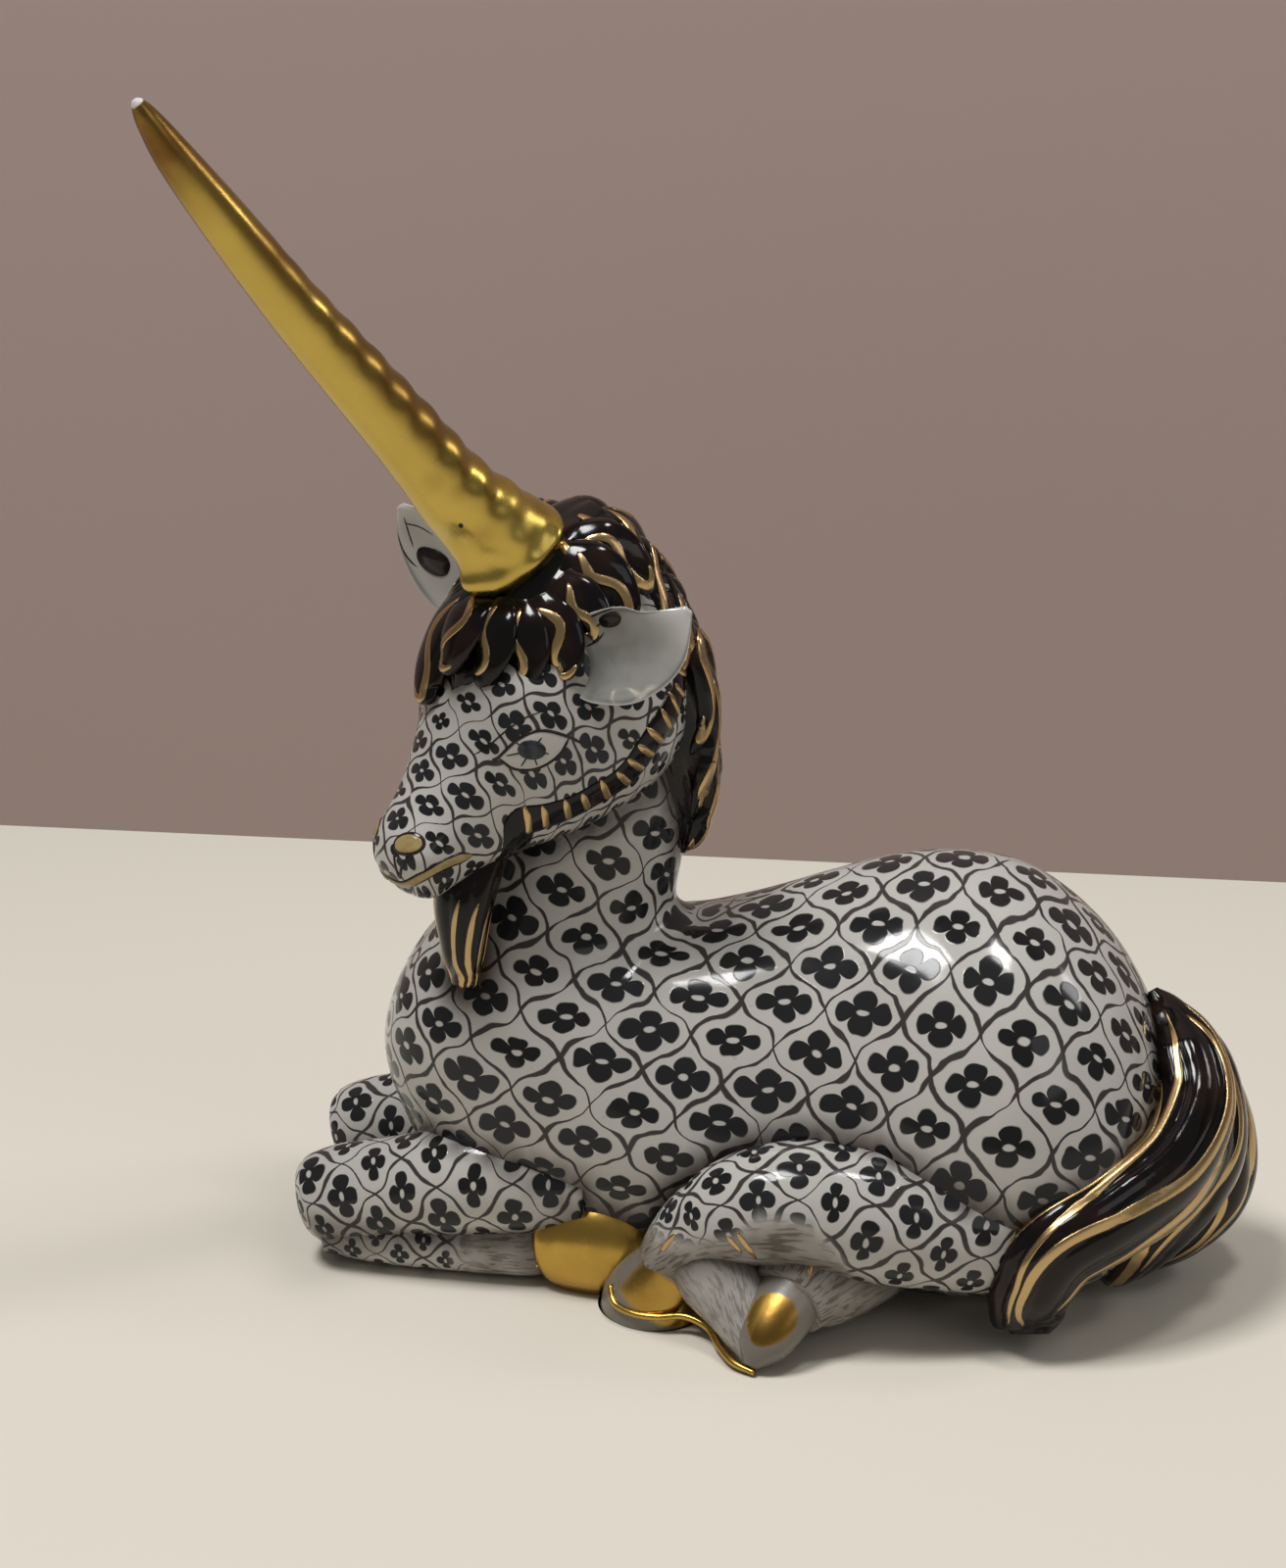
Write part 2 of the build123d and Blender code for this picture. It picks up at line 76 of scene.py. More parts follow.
def evenly(rows, count):  # the same curve, read at places a steady step apart
    return easedRows(rows, np.linspace(0, len(rows) - 1, count))


def ringTurns(columns):  # the place of each column, in turns
    return np.arange(columns) / columns


def alongOf(grid):  # the place of each row, from 0 to 1
    return np.linspace(0, 1, len(grid))[:, None]


def thinned(grid, step=3):
    return grid[::step, ::step]


# An oval tube through rows of x, y, z, half width, half depth. Its depth points along `facing` or
# away from `hub`, `swell` multiplies the radius at each row and turn, and `wrap` bends its sides down.
def limbGrid(rows, count, columns, facing=None, hub=None, swell=None, wrap=0.0):
    path = evenly(rows, count)
    centre, halfWidth, halfDepth = path[:, :3], path[:, 3:4], path[:, 4:5]
    tangent = unit(np.gradient(centre, axis=0))
    away = np.broadcast_to(facing, centre.shape) if hub is None else centre - np.asarray(hub, float)
    side = unit(np.cross(tangent, away))
    rise = np.cross(side, tangent)
    turn = ringTurns(columns) * turnFull
    across = np.sin(turn)[None, :, None] * side[:, None]
    up = np.cos(turn)[None, :, None] * rise[:, None]
    spoke = across * halfWidth[:, None] + up * halfDepth[:, None]
    if swell is not None:
        spoke = spoke * swell(alongOf(path), ringTurns(columns)[None, :])[..., None]
    droop = rise[:, None] * (wrap * halfWidth * np.sin(turn) ** 2)[..., None]
    return centre[:, None] + spoke - droop


# Rounded humps with sharp valleys between them, `count` round the ring, that drift as they run
def locks(along, turn, count, drift, depth, phase=0.0):
    hump = np.abs(np.sin(np.pi * (count * turn + drift * along + phase)))
    return depth * (np.sqrt(hump) - 0.7)


def onGround(grid):  # what would sink into the ground lies flat on it
    grid[..., 2] = np.maximum(grid[..., 2], 0)
    return grid


def outwardOf(grid):  # unit normals of a closed grid, whichever way its columns run
    along = np.gradient(grid, axis=0)
    around = (np.roll(grid, -1, axis=1) - np.roll(grid, 1, axis=1)) / 2
    normal = unit(np.cross(along, around))
    spoke = grid - grid.mean(axis=1, keepdims=True)
    return normal * np.sign((normal * spoke).sum(-1).mean() or 1)


# Adds soft bumps along the surface's normals: centre, radius, height in mm
def bumped(grid, bumps):
    lift = np.zeros(grid.shape[:2])
    for x, y, z, radius, height in bumps:
        lift += height * np.exp(-(lengthOf(grid - (x, y, z)) / radius) ** 2)
    return grid + outwardOf(grid) * lift[..., None]


# Presses a groove into the surface along a line of points: width and depth in mm
def grooved(grid, line, width, depth):
    line = evenly(line, 40)
    distance = np.min(lengthOf(grid[:, :, None] - line[None, None]), axis=2)
    return grid - outwardOf(grid) * (depth * np.exp(-(distance / width) ** 2))[..., None]


def readGrid(grid, s, t):  # a point of the surface: s from 0 to 1 along it, t in turns round it
    rows, columns = grid.shape[:2]
    x = np.clip(s, 0, 1) * (rows - 1)
    y = np.mod(t, 1) * columns
    i = np.minimum(x.astype(int), rows - 2)
    j = y.astype(int) % columns
    fx, fy = (x - i)[..., None], (y - np.floor(y))[..., None]
    after = (j + 1) % columns
    near = grid[i, j] * (1 - fx) + grid[i + 1, j] * fx
    far = grid[i, after] * (1 - fx) + grid[i + 1, after] * fx
    return near * (1 - fy) + far * fy


# How the surface runs along s and along t at a place, and its unit normal there, outwards
def gridSlopes(grid, s, t):
    step = 1e-3
    alongS = (readGrid(grid, s + step, t) - readGrid(grid, s - step, t)) / (2 * step)
    alongT = (readGrid(grid, s, t + step) - readGrid(grid, s, t - step)) / (2 * step)
    normal = unit(np.cross(alongS, alongT))
    row = np.clip((s * (len(grid) - 1)).astype(int), 0, len(grid) - 1)
    spoke = readGrid(grid, s, t) - grid.mean(axis=1)[row]
    flip = np.sign((normal * spoke).sum(-1, keepdims=True))
    return alongS, alongT, normal * np.where(flip == 0, 1, flip)


def gridShift(alongS, alongT, move):  # the change of s and t that moves a point by `move`
    e, f, g = (alongS**2).sum(-1), (alongS * alongT).sum(-1), (alongT**2).sum(-1)
    a, b = (move * alongS).sum(-1), (move * alongT).sum(-1)
    size = np.maximum(e * g - f * f, 1e-9)
    return (a * g - b * f) / size, (b * e - a * f) / size


# Meshes: quads between the rows, and a fan of triangles from each end row to the pole in its middle
def tubeFaces(rows, columns):
    i, j = np.meshgrid(np.arange(rows - 1), np.arange(columns), indexing="ij")
    here, after = i * columns + j, i * columns + (j + 1) % columns
    quads = np.stack([here, after, after + columns, here + columns], -1)
    ring = np.arange(columns)
    nextOne = (ring + 1) % columns
    low = np.stack([np.full(columns, rows * columns), nextOne, ring], -1)
    base = (rows - 1) * columns
    high = np.stack([np.full(columns, rows * columns + 1), base + ring, base + nextOne], -1)
    return quads.reshape(-1, 4), np.concatenate([low, high])


def withPoles(values):  # a grid's values in one list, then the mean of its first row and of its last
    values = np.asarray(values, float)
    return np.concatenate([values.reshape(-1, *values.shape[2:]), values[:1].mean(1), values[-1:].mean(1)])


def volumeOf(points, faces):  # six times the volume under the faces, below 0 where they point inwards
    corner = points[faces]
    fans = [np.cross(corner[:, k], corner[:, k + 1]) for k in range(1, faces.shape[1] - 1)]
    return sum(np.einsum("ij,ij->i", corner[:, 0], fan).sum() for fan in fans)


# The paint map at each face's corners. The map has one column more than its grid, which is read where
# a face crosses the seam, and the poles come last in it.
def mapCorners(uv, quads, tris, rows, columns):
    flat = withPoles(uv)
    row, col = np.divmod(quads, columns)
    seam = (col == 0) & (col.max(1, keepdims=True) == columns - 1)
    quadUvs = flat[row * (columns + 1) + np.where(seam, columns, col)]
    pole = tris >= rows * columns
    row, col = np.divmod(np.minimum(tris, rows * columns - 1), columns)
    seam = (col == 0) & ~pole & (np.where(pole, -1, col).max(1, keepdims=True) == columns - 1)
    index = row * (columns + 1) + np.where(seam, columns, col)
    return quadUvs, flat[np.where(pole, rows + tris, index)]


# Turns closed grids into one mesh piece of the object. `uvs` holds a paint map for each grid, and
# `marks` the named attributes that the materials read, each with its values for each grid.
def makePiece(name, grids, material, replaces=(), uvs=None, marks=None):
    marks = marks or {}
    verts, quads, tris, quadUvs, triUvs = [], [], [], [], []
    offset = 0
    for k, grid in enumerate(grids):
        points = withPoles(grid)
        q, t = tubeFaces(*grid.shape[:2])
        if volumeOf(points, t) + volumeOf(points, q) < 0:
            q, t = q[:, ::-1], t[:, ::-1]
        verts.append(points)
        quads.append(q + offset)
        tris.append(t + offset)
        offset += len(points)
        if uvs is not None:
            quadUv, triUv = mapCorners(uvs[k], q, t, *grid.shape[:2])
            quadUvs.append(quadUv.reshape(-1, 2))
            triUvs.append(triUv.reshape(-1, 2))
    mesh = bpy.data.meshes.new(name)
    faces = np.concatenate(quads).tolist() + np.concatenate(tris).tolist()
    mesh.from_pydata((np.concatenate(verts) * mm).tolist(), [], faces)
    if uvs is not None:
        layer = mesh.uv_layers.new(name="paintMap")
        layer.uv.foreach_set("vector", np.concatenate(quadUvs + triUvs).astype(np.float32).ravel())
    for key, values in marks.items():
        attribute = mesh.attributes.new(key, "FLOAT", "POINT")
        flat = np.concatenate([withPoles(value) for value in values])
        attribute.data.foreach_set("value", flat.astype(np.float32))
    mesh.polygons.foreach_set("use_smooth", np.ones(len(mesh.polygons), bool))
    mesh.materials.append(material)
    mesh.update()
    piece = bpy.data.objects.new(name, mesh)
    bpy.context.scene.collection.objects.link(piece)
    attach(piece, "root")
    if replaces:
        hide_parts(*replaces)


# A stroke's shape as shares: how deep its underside lies, how much blunter it starts than it ends,
# and its least width
brushShape = {"sink": 0.7, "start": 1.6, "least": 0.02}


# Raised strokes that lie on a grid: a half oval above the surface, closed just below it. Each path
# is a run of s, t along the surface.
def strokeGrids(grid, paths, halfWidth, height=0.12, samples=28, blunt=0.35, columns=8):
    turn = ringTurns(columns) * turnFull
    acrossShare = np.cos(turn)
    heightShare = np.where(np.sin(turn) > 0, np.sin(turn), brushShape["sink"] * np.sin(turn))
    run = np.linspace(0, 1, samples)
    ends = np.minimum(run * brushShape["start"], 1 - run) / blunt
    taper = np.clip(ends, brushShape["least"], 1) ** 0.5
    lift = heightShare[None] * height * taper[:, None]
    grids = []
    for path in paths:
        fine = evenly(path, samples)
        s, t = fine[:, 0], fine[:, 1]
        alongS, alongT, normal = gridSlopes(grid, s, t)
        side = unit(np.cross(normal, np.gradient(readGrid(grid, s, t), axis=0)))
        move = side[:, None] * (acrossShare[None, :, None] * (halfWidth * taper)[:, None, None])
        ds, dt = gridShift(alongS[:, None], alongT[:, None], move)
        grids.append(readGrid(grid, s[:, None] + ds, t[:, None] + dt) + normal[:, None] * lift[..., None])
    return grids


# The s, t path of a stroke drawn in mm about a point of the grid: x forward along it, y round it
def drawnAt(grid, s0, t0, points):
    alongS, alongT, normal = gridSlopes(grid, np.array([s0]), np.array([t0]))
    forward = unit(alongS)
    sideways = unit(np.cross(normal, forward))
    sideways = sideways * np.sign((sideways * alongT).sum(-1, keepdims=True))
    points = np.asarray(points, float)
    ds, dt = gridShift(alongS, alongT, forward * points[:, :1] + sideways * points[:, 1:2])
    return np.stack([s0 + ds, t0 + dt], -1)


def placeOn(grid, points):  # the s, t of the surface nearest to each point
    points = np.asarray(points, float)
    flat = grid.reshape(-1, 3)
    nearest = ((points[:, None] - flat[None]) ** 2).sum(-1).argmin(1)
    s, t = (nearest // grid.shape[1]) / (len(grid) - 1), (nearest % grid.shape[1]) / grid.shape[1]
    for step in range(4):  # each step lands nearer
        alongS, alongT = gridSlopes(grid, s, t)[:2]
        ds, dt = gridShift(alongS, alongT, points - readGrid(grid, s, t))
        s, t = np.clip(s + ds, 0.001, 0.999), t + dt
    return np.stack([s, np.unwrap(t, period=1)], -1)


# A closed painted spot that lies on a grid, domed a little, from its outline's s, t
def spotGrid(grid, centre, outline, height=0.1):
    reachShares = np.array([0.02, 0.35, 0.7, 0.93, 1.0, 1.0])[:, None, None]
    liftShares = np.array([1.0, 1.0, 0.95, 0.8, 0.0, -1.4])
    path = np.asarray(centre) + (np.asarray(outline)[None] - centre) * reachShares
    normal = gridSlopes(grid, path[..., 0], path[..., 1])[2]
    lift = liftShares * height
    return readGrid(grid, path[..., 0], path[..., 1]) + normal * lift[:, None, None]


# An oval in mm, turned by `tilt`, and pointed at its ends where `point` is under 1
def ovalOutline(halfLength, halfHeight, tilt=0.0, point=1.0):
    turn = ringTurns(28) * turnFull
    x, y = halfLength * np.cos(turn), halfHeight * boxed(np.sin(turn), point)
    return np.stack([x * np.cos(tilt) - y * np.sin(tilt), x * np.sin(tilt) + y * np.cos(tilt)], -1)


# Cells of even size on a tube: the count round is fixed and the steps along follow the girth
def tubeCells(grid, cellsRound, shift=0.0):
    girth = lengthOf(np.roll(grid, -1, axis=1) - grid).sum(1)
    step = lengthOf(np.diff(grid, axis=0)).mean(1)
    middle = np.maximum((girth[1:] + girth[:-1]) / 2, girth.max() * 0.35)
    along = runOf(step * cellsRound / middle) + shift
    columns = grid.shape[1]
    around = np.arange(columns + 1) / columns * cellsRound
    return np.stack(np.broadcast_arrays(around[None, :], along[:, None]), -1)


# Cells of one size in mm, counted both ways from turn 0 so that they meet again opposite it
def sheetCells(grid, cell):
    run = runOf(lengthOf(np.roll(grid, -1, axis=1) - grid))
    around = np.minimum(run, run[:, -1:] - run) / cell
    along = runOf(lengthOf(np.diff(grid, axis=0)).mean(1))[:, None] / cell
    return np.stack(np.broadcast_arrays(around, along), -1)


# How close each point comes to other surfaces, 1 where they touch and 0 from `reach` mm on
def closeness(grid, others, reach=2.6):
    points = grid.reshape(-1, 3)
    near = np.concatenate([other.reshape(-1, 3) for other in others])
    best = np.empty(len(points))
    batch = 2000  # points at a time, to keep the table of distances small
    for first in range(0, len(points), batch):
        part = points[first:first + batch]
        square = (part**2).sum(1)[:, None] + (near**2).sum(1)[None] - 2 * part @ near.T
        best[first:first + batch] = np.sqrt(np.maximum(square.min(1), 0))
    return np.clip(1 - best / reach, 0, 1).reshape(grid.shape[:2])


# Shader nodes: each helper adds one node, wires its inputs and hands back its output
def socketIn(tree, node, index, value):
    if isinstance(value, bpy.types.NodeSocket):
        tree.links.new(value, node.inputs[index])
    elif value is not None:
        node.inputs[index].default_value = value


def calc(tree, operation, a, b=None, clamp=False):
    node = tree.nodes.new("ShaderNodeMath")
    node.operation = operation
    node.use_clamp = clamp
    socketIn(tree, node, 0, a)
    socketIn(tree, node, 1, b)
    return node.outputs[0]


def sumsIn(tree):  # the three sums that the materials use most, for one tree
    return [partial(calc, tree, operation) for operation in ("ADD", "SUBTRACT", "MULTIPLY")]


def vectorCalc(tree, operation, a, b=None, scale=None):
    node = tree.nodes.new("ShaderNodeVectorMath")
    node.operation = operation
    socketIn(tree, node, 0, a)
    socketIn(tree, node, 1, b)
    socketIn(tree, node, 3, scale)
    return node.outputs[0]


def soften(tree, value, low, high, toLow=0.0, toHigh=1.0):
    node = tree.nodes.new("ShaderNodeMapRange")
    node.interpolation_type = "SMOOTHSTEP"
    for index, v in enumerate((value, low, high, toLow, toHigh)):
        socketIn(tree, node, index, v)
    return node.outputs[0]


def blendColour(tree, factor, a, b):
    node = tree.nodes.new("ShaderNodeMix")
    node.data_type = "RGBA"
    socketIn(tree, node, 0, factor)
    socketIn(tree, node, 6, a)
    socketIn(tree, node, 7, b)
    return node.outputs[2]


def noiseOf(tree, vector, scale, detail=2.0, roughness=0.5, output="Fac"):
    node = tree.nodes.new("ShaderNodeTexNoise")
    socketIn(tree, node, "Vector", vector)
    node.inputs["Scale"].default_value = scale
    node.inputs["Detail"].default_value = detail
    node.inputs["Roughness"].default_value = roughness
    return node.outputs[output]


def markOf(tree, name):  # an attribute of the piece, 0 on pieces that lack it
    node = tree.nodes.new("ShaderNodeAttribute")
    node.attribute_name = name
    return node.outputs["Fac"]


def colour(r, g, b):
    return (r, g, b, 1.0)


def newGroup(name, inputs, outputs):
    group = bpy.data.node_groups.new(name, "ShaderNodeTree")
    for way, sockets in (("INPUT", inputs), ("OUTPUT", outputs)):
        for label, kind in sockets.items():
            group.interface.new_socket(label, in_out=way, socket_type="NodeSocket" + kind)
    start = group.nodes.new("NodeGroupInput")
    end = group.nodes.new("NodeGroupOutput")
    return group, start.outputs, end.inputs


def placeGroup(tree, group, **values):
    node = tree.nodes.new("ShaderNodeGroup")
    node.node_tree = group
    for label, value in values.items():
        socketIn(tree, node, label, value)
    return node.outputs


# Painted trellis: thin lines cross in lozenges, with a four-petal blossom in each. The vector counts
# cells, the place is the object's own, and the masks come out hand-drawn.
trellis = {
    # noise per metre: how the net drifts, how hard the brush is pressed, thick and thin along a stroke
    "driftScale": 150.0, "pressScale": 420.0, "leanScale": 190.0,
    # shares of a cell: how far the lines bow, the blur of a petal's edge and of the bare heart's
    "bow": 0.055, "petalSoft": 0.012, "heart": (0.035, 0.055),
    # how round the petals are, and how deep the clefts between them
    "petalRound": 0.55, "petalCleft": 0.66,
}


def makeTrellisGroup():
    group, given, made = newGroup(
        "paintedTrellis",
        {"Cells": "Vector", "Place": "Vector", "Line": "Float", "Petal": "Float", "Wobble": "Float"},
        {"Lines": "Float", "Petals": "Float", "Tone": "Float"},
    )
    add, take, times = sumsIn(group)
    drift = noiseOf(group, given["Place"], trellis["driftScale"], 2.0, 0.6, "Color")
    drift = vectorCalc(group, "SUBTRACT", drift, (0.5, 0.5, 0.5))
    cells = vectorCalc(group, "ADD", given["Cells"], vectorCalc(group, "SCALE", drift, scale=given["Wobble"]))
    split = group.nodes.new("ShaderNodeSeparateXYZ")
    group.links.new(cells, split.inputs[0])
    u, v = split.outputs[0], split.outputs[1]
    a, b = add(u, v), take(u, v)
    bowedA = add(a, times(calc(group, "SINE", times(b, turnFull)), trellis["bow"]))
    bowedB = add(b, times(calc(group, "SINE", times(a, turnFull)), trellis["bow"]))
    inA, inB = take(calc(group, "FRACT", bowedA), 0.5), take(calc(group, "FRACT", bowedB), 0.5)
    toA, toB = take(0.5, calc(group, "ABSOLUTE", inA)), take(0.5, calc(group, "ABSOLUTE", inB))
    toLine = times(calc(group, "MINIMUM", toA, toB), 0.707)  # the lines run at 45 degrees to u and v
    press = noiseOf(group, given["Place"], trellis["pressScale"], 2.0)
    lean = noiseOf(group, given["Place"], trellis["leanScale"], 1.0)
    width = times(given["Line"], soften(group, press, 0.25, 0.75, 0.7, 1.25))
    width = times(width, soften(group, lean, 0.3, 0.7, 0.4, 1.75))
    lines = soften(group, toLine, times(width, 1.25), times(width, 0.75))
    x, y = times(add(inA, inB), 0.5), times(take(inA, inB), 0.5)
    reach = calc(group, "SQRT", add(times(x, x), times(y, y)))
    angle = calc(group, "ARCTAN2", y, x)
    lobes = calc(group, "ABSOLUTE", calc(group, "COSINE", times(angle, 2.0)))
    lobes = calc(group, "POWER", lobes, trellis["petalRound"])
    cell = group.nodes.new("ShaderNodeCombineXYZ")
    group.links.new(calc(group, "FLOOR", bowedA), cell.inputs[0])
    group.links.new(calc(group, "FLOOR", bowedB), cell.inputs[1])
    chance = group.nodes.new("ShaderNodeTexWhiteNoise")
    group.links.new(cell.outputs[0], chance.inputs["Vector"])
    size = times(given["Petal"], soften(group, chance.outputs[0], 0.0, 1.0, 0.88, 1.12))
    edge = times(size, add(times(lobes, trellis["petalCleft"]), 1 - trellis["petalCleft"]))
    edge = add(edge, times(take(press, 0.5), 0.07))
    petals = soften(group, take(reach, edge), trellis["petalSoft"], -trellis["petalSoft"])
    heart = soften(group, reach, *trellis["heart"])
    group.links.new(lines, made["Lines"])
    group.links.new(times(petals, heart), made["Petals"])
    group.links.new(chance.outputs[0], made["Tone"])
    return group


# Fine brown strokes that run along a limb, for the feathered hair over the hooves: noise drawn out
# along the cells, in patches
def makeFeatherGroup():
    group, given, made = newGroup(
        "featherStrokes",
        {"Cells": "Vector", "Place": "Vector", "Amount": "Float", "Fineness": "Float"},
        {"Strokes": "Float", "Wash": "Float"},
    )
    times = partial(calc, group, "MULTIPLY")
    longStrands = (1.0, 0.16, 1.0)
    stretch = vectorCalc(group, "MULTIPLY", given["Cells"], longStrands)
    stretch = vectorCalc(group, "SCALE", stretch, scale=given["Fineness"])
    strand = noiseOf(group, stretch, 1.0)
    patch = noiseOf(group, given["Place"], 240.0)
    strokes = times(soften(group, strand, 0.5, 0.58), soften(group, patch, 0.3, 0.62, 0.45, 1.0))
    group.links.new(times(strokes, given["Amount"]), made["Strokes"])
    group.links.new(times(soften(group, patch, 0.25, 0.75, 0.5, 1.0), given["Amount"]), made["Wash"])
    return group


# White glaze: a faint unevenness of tone, a few dark specks, the ripple that fired glaze has, and glaze
# pooled dark in the creases with painted shade
glaze = {
    "light": colour(0.5, 0.48, 0.452), "deep": colour(0.38, 0.36, 0.335),
    "speck": colour(0.3, 0.26, 0.22), "poolAndShade": colour(0.085, 0.07, 0.06),
    "cloudScale": 55.0, "speckScale": 900.0, "rippleScale": 110.0, "glossScale": 300.0,
    "gloss": (0.07, 0.16),
}


def makeGlazeGroup():
    group, given, made = newGroup(
        "glazeTone",
        {"Place": "Vector", "Pool": "Float"},
        {"Colour": "Color", "Ripple": "Float", "Gloss": "Float"},
    )
    cloud = noiseOf(group, given["Place"], glaze["cloudScale"], 3.0)
    tone = blendColour(group, soften(group, cloud, 0.35, 0.75, 0.0, 0.35), glaze["light"], glaze["deep"])
    speck = soften(group, noiseOf(group, given["Place"], glaze["speckScale"], 1.0), 0.76, 0.8)
    tone = blendColour(group, calc(group, "MULTIPLY", speck, 0.35), tone, glaze["speck"])
    # glaze pooled in the creases, with painted shade: the tone darkens towards the pool colour
    pooledAndShaded = blendColour(group, calc(group, "POWER", given["Pool"], 1.1), tone, glaze["poolAndShade"])
    group.links.new(pooledAndShaded, made["Colour"])
    group.links.new(noiseOf(group, given["Place"], glaze["rippleScale"]), made["Ripple"])
    shine = noiseOf(group, given["Place"], glaze["glossScale"])
    group.links.new(soften(group, shine, 0.3, 0.8, *glaze["gloss"]), made["Gloss"])
    return group


# Burnished gold over glaze: brighter and browner patches, and fine brush drag
def makeGoldGroup():
    group, given, made = newGroup(
        "burnishedGold",
        {"Place": "Vector", "Bright": "Color", "Worn": "Color", "Wear": "Float"},
        {"Colour": "Color", "Gloss": "Float", "Drag": "Float"},
    )
    add, times = partial(calc, group, "ADD"), partial(calc, group, "MULTIPLY")
    patch = noiseOf(group, given["Place"], 95.0, 4.0, 0.6)
    fine = noiseOf(group, given["Place"], 700.0)
    amount = times(soften(group, patch, 0.3, 0.75, 0.5, 1.0), given["Wear"])
    group.links.new(blendColour(group, amount, given["Bright"], given["Worn"]), made["Colour"])
    group.links.new(add(soften(group, patch, 0.3, 0.8, 0.2, 0.36), times(fine, 0.05)), made["Gloss"])
    group.links.new(add(patch, times(fine, 0.2)), made["Drag"])
    return group


trellisGroup, featherGroup = makeTrellisGroup(), makeFeatherGroup()
glazeGroup, goldGroup = makeGlazeGroup(), makeGoldGroup()


def newMaterial(name, coat=0.0, shine=None):
    material = bpy.data.materials.new(name)
    material.use_nodes = True
    tree = material.node_tree
    shader = tree.nodes["Principled BSDF"]
    shader.inputs["Coat Weight"].default_value = coat
    shader.inputs["Coat Roughness"].default_value = 0.04
    socketIn(tree, shader, "Specular IOR Level", shine)
    place = tree.nodes.new("ShaderNodeTexCoord").outputs["Object"]
    return material, tree, shader, place


def bumpInto(tree, shader, height, distance):
    node = tree.nodes.new("ShaderNodeBump")
    node.inputs["Distance"].default_value = distance
    tree.links.new(height, node.inputs["Height"])
    tree.links.new(node.outputs[0], shader.inputs["Normal"])


paint = {
    "black": colour(0.003, 0.003, 0.0035), "line": colour(0.012, 0.008, 0.007),
    "slate": colour(0.014, 0.015, 0.019), "feather": colour(0.075, 0.056, 0.042),
    "wash": colour(0.19, 0.17, 0.145), "biscuit": colour(0.62, 0.59, 0.54),
    "earInsideTintAndShade": colour(0.07, 0.077, 0.06),
    "hair": colour(0.004, 0.003, 0.003), "hairThin": colour(0.026, 0.012, 0.008),
    "glazeRipple": 0.00012, "hairRipple": 0.00015, "paintRise": 0.12,
}


# White glaze with the painted trellis. Attributes: poolAndShade, glaze pooled in the creases with painted
# shade there, feather over the hooves, bare on the unglazed foot, plain where the painter left the glaze
# white.
def trellisGlaze(name, line, petal, wobble, fineness=9.0):
    material, tree, shader, place = newMaterial(name, coat=0.06, shine=0.21)
    add, take, times = sumsIn(tree)
    cells = tree.nodes.new("ShaderNodeUVMap")
    cells.uv_map = "paintMap"
    white = placeGroup(tree, glazeGroup, Place=place, Pool=markOf(tree, "poolAndShade"))
    net = placeGroup(tree, trellisGroup, Cells=cells.outputs[0], Place=place,
                     Line=line, Petal=petal, Wobble=wobble)
    feather = placeGroup(tree, featherGroup, Cells=cells.outputs[0], Place=place,
                         Amount=markOf(tree, "feather"), Fineness=fineness)
    painted = take(1.0, markOf(tree, "plain"), clamp=True)
    lines, petals = times(net["Lines"], painted), times(net["Petals"], painted)
    tone = blendColour(tree, times(feather["Wash"], 0.95), white["Colour"], paint["wash"])
    tone = blendColour(tree, times(feather["Strokes"], 0.8), tone, paint["feather"])
    tone = blendColour(tree, times(lines, 0.93), tone, paint["line"])
    fill = blendColour(tree, times(net["Tone"], 0.7), paint["black"], paint["slate"])
    tone = blendColour(tree, times(petals, 0.98), tone, fill)
    bare = markOf(tree, "bare")
    tree.links.new(blendColour(tree, bare, tone, paint["biscuit"]), shader.inputs["Base Color"])
    tree.links.new(add(white["Gloss"], times(bare, 0.5)), shader.inputs["Roughness"])
    height = add(times(add(lines, petals), paint["paintRise"]), white["Ripple"])
    bumpInto(tree, shader, height, paint["glazeRipple"])
    return material


def earGlaze(name):  # attributes: cupTintAndShade, the grey-green inside of the ear with painted shade, ink on its rim
    material, tree, shader, place = newMaterial(name, coat=0.2)
    white = placeGroup(tree, glazeGroup, Place=place)
    cloud = soften(tree, noiseOf(tree, place, 200.0, 3.0), 0.3, 0.7, 0.75, 1.0)
    inside = calc(tree, "MULTIPLY", markOf(tree, "cupTintAndShade"), cloud)
    tone = blendColour(tree, inside, white["Colour"], paint["earInsideTintAndShade"])
    tone = blendColour(tree, markOf(tree, "ink"), tone, paint["line"])
    tree.links.new(tone, shader.inputs["Base Color"])
    tree.links.new(white["Gloss"], shader.inputs["Roughness"])
    bumpInto(tree, shader, white["Ripple"], paint["glazeRipple"])
    return material


def blackGlaze(name):  # black, with brown where it ran thin
    material, tree, shader, place = newMaterial(name, shine=0.28)
    cloud = noiseOf(tree, place, 160.0, 3.0)
    brown = soften(tree, cloud, 0.45, 0.8, 0.0, 0.8)
    tree.links.new(blendColour(tree, brown, paint["hair"], paint["hairThin"]), shader.inputs["Base Color"])
    rough = soften(tree, noiseOf(tree, place, 500.0), 0.3, 0.8, 0.07, 0.17)
    tree.links.new(rough, shader.inputs["Roughness"])
    bumpInto(tree, shader, cloud, paint["hairRipple"])
    return material


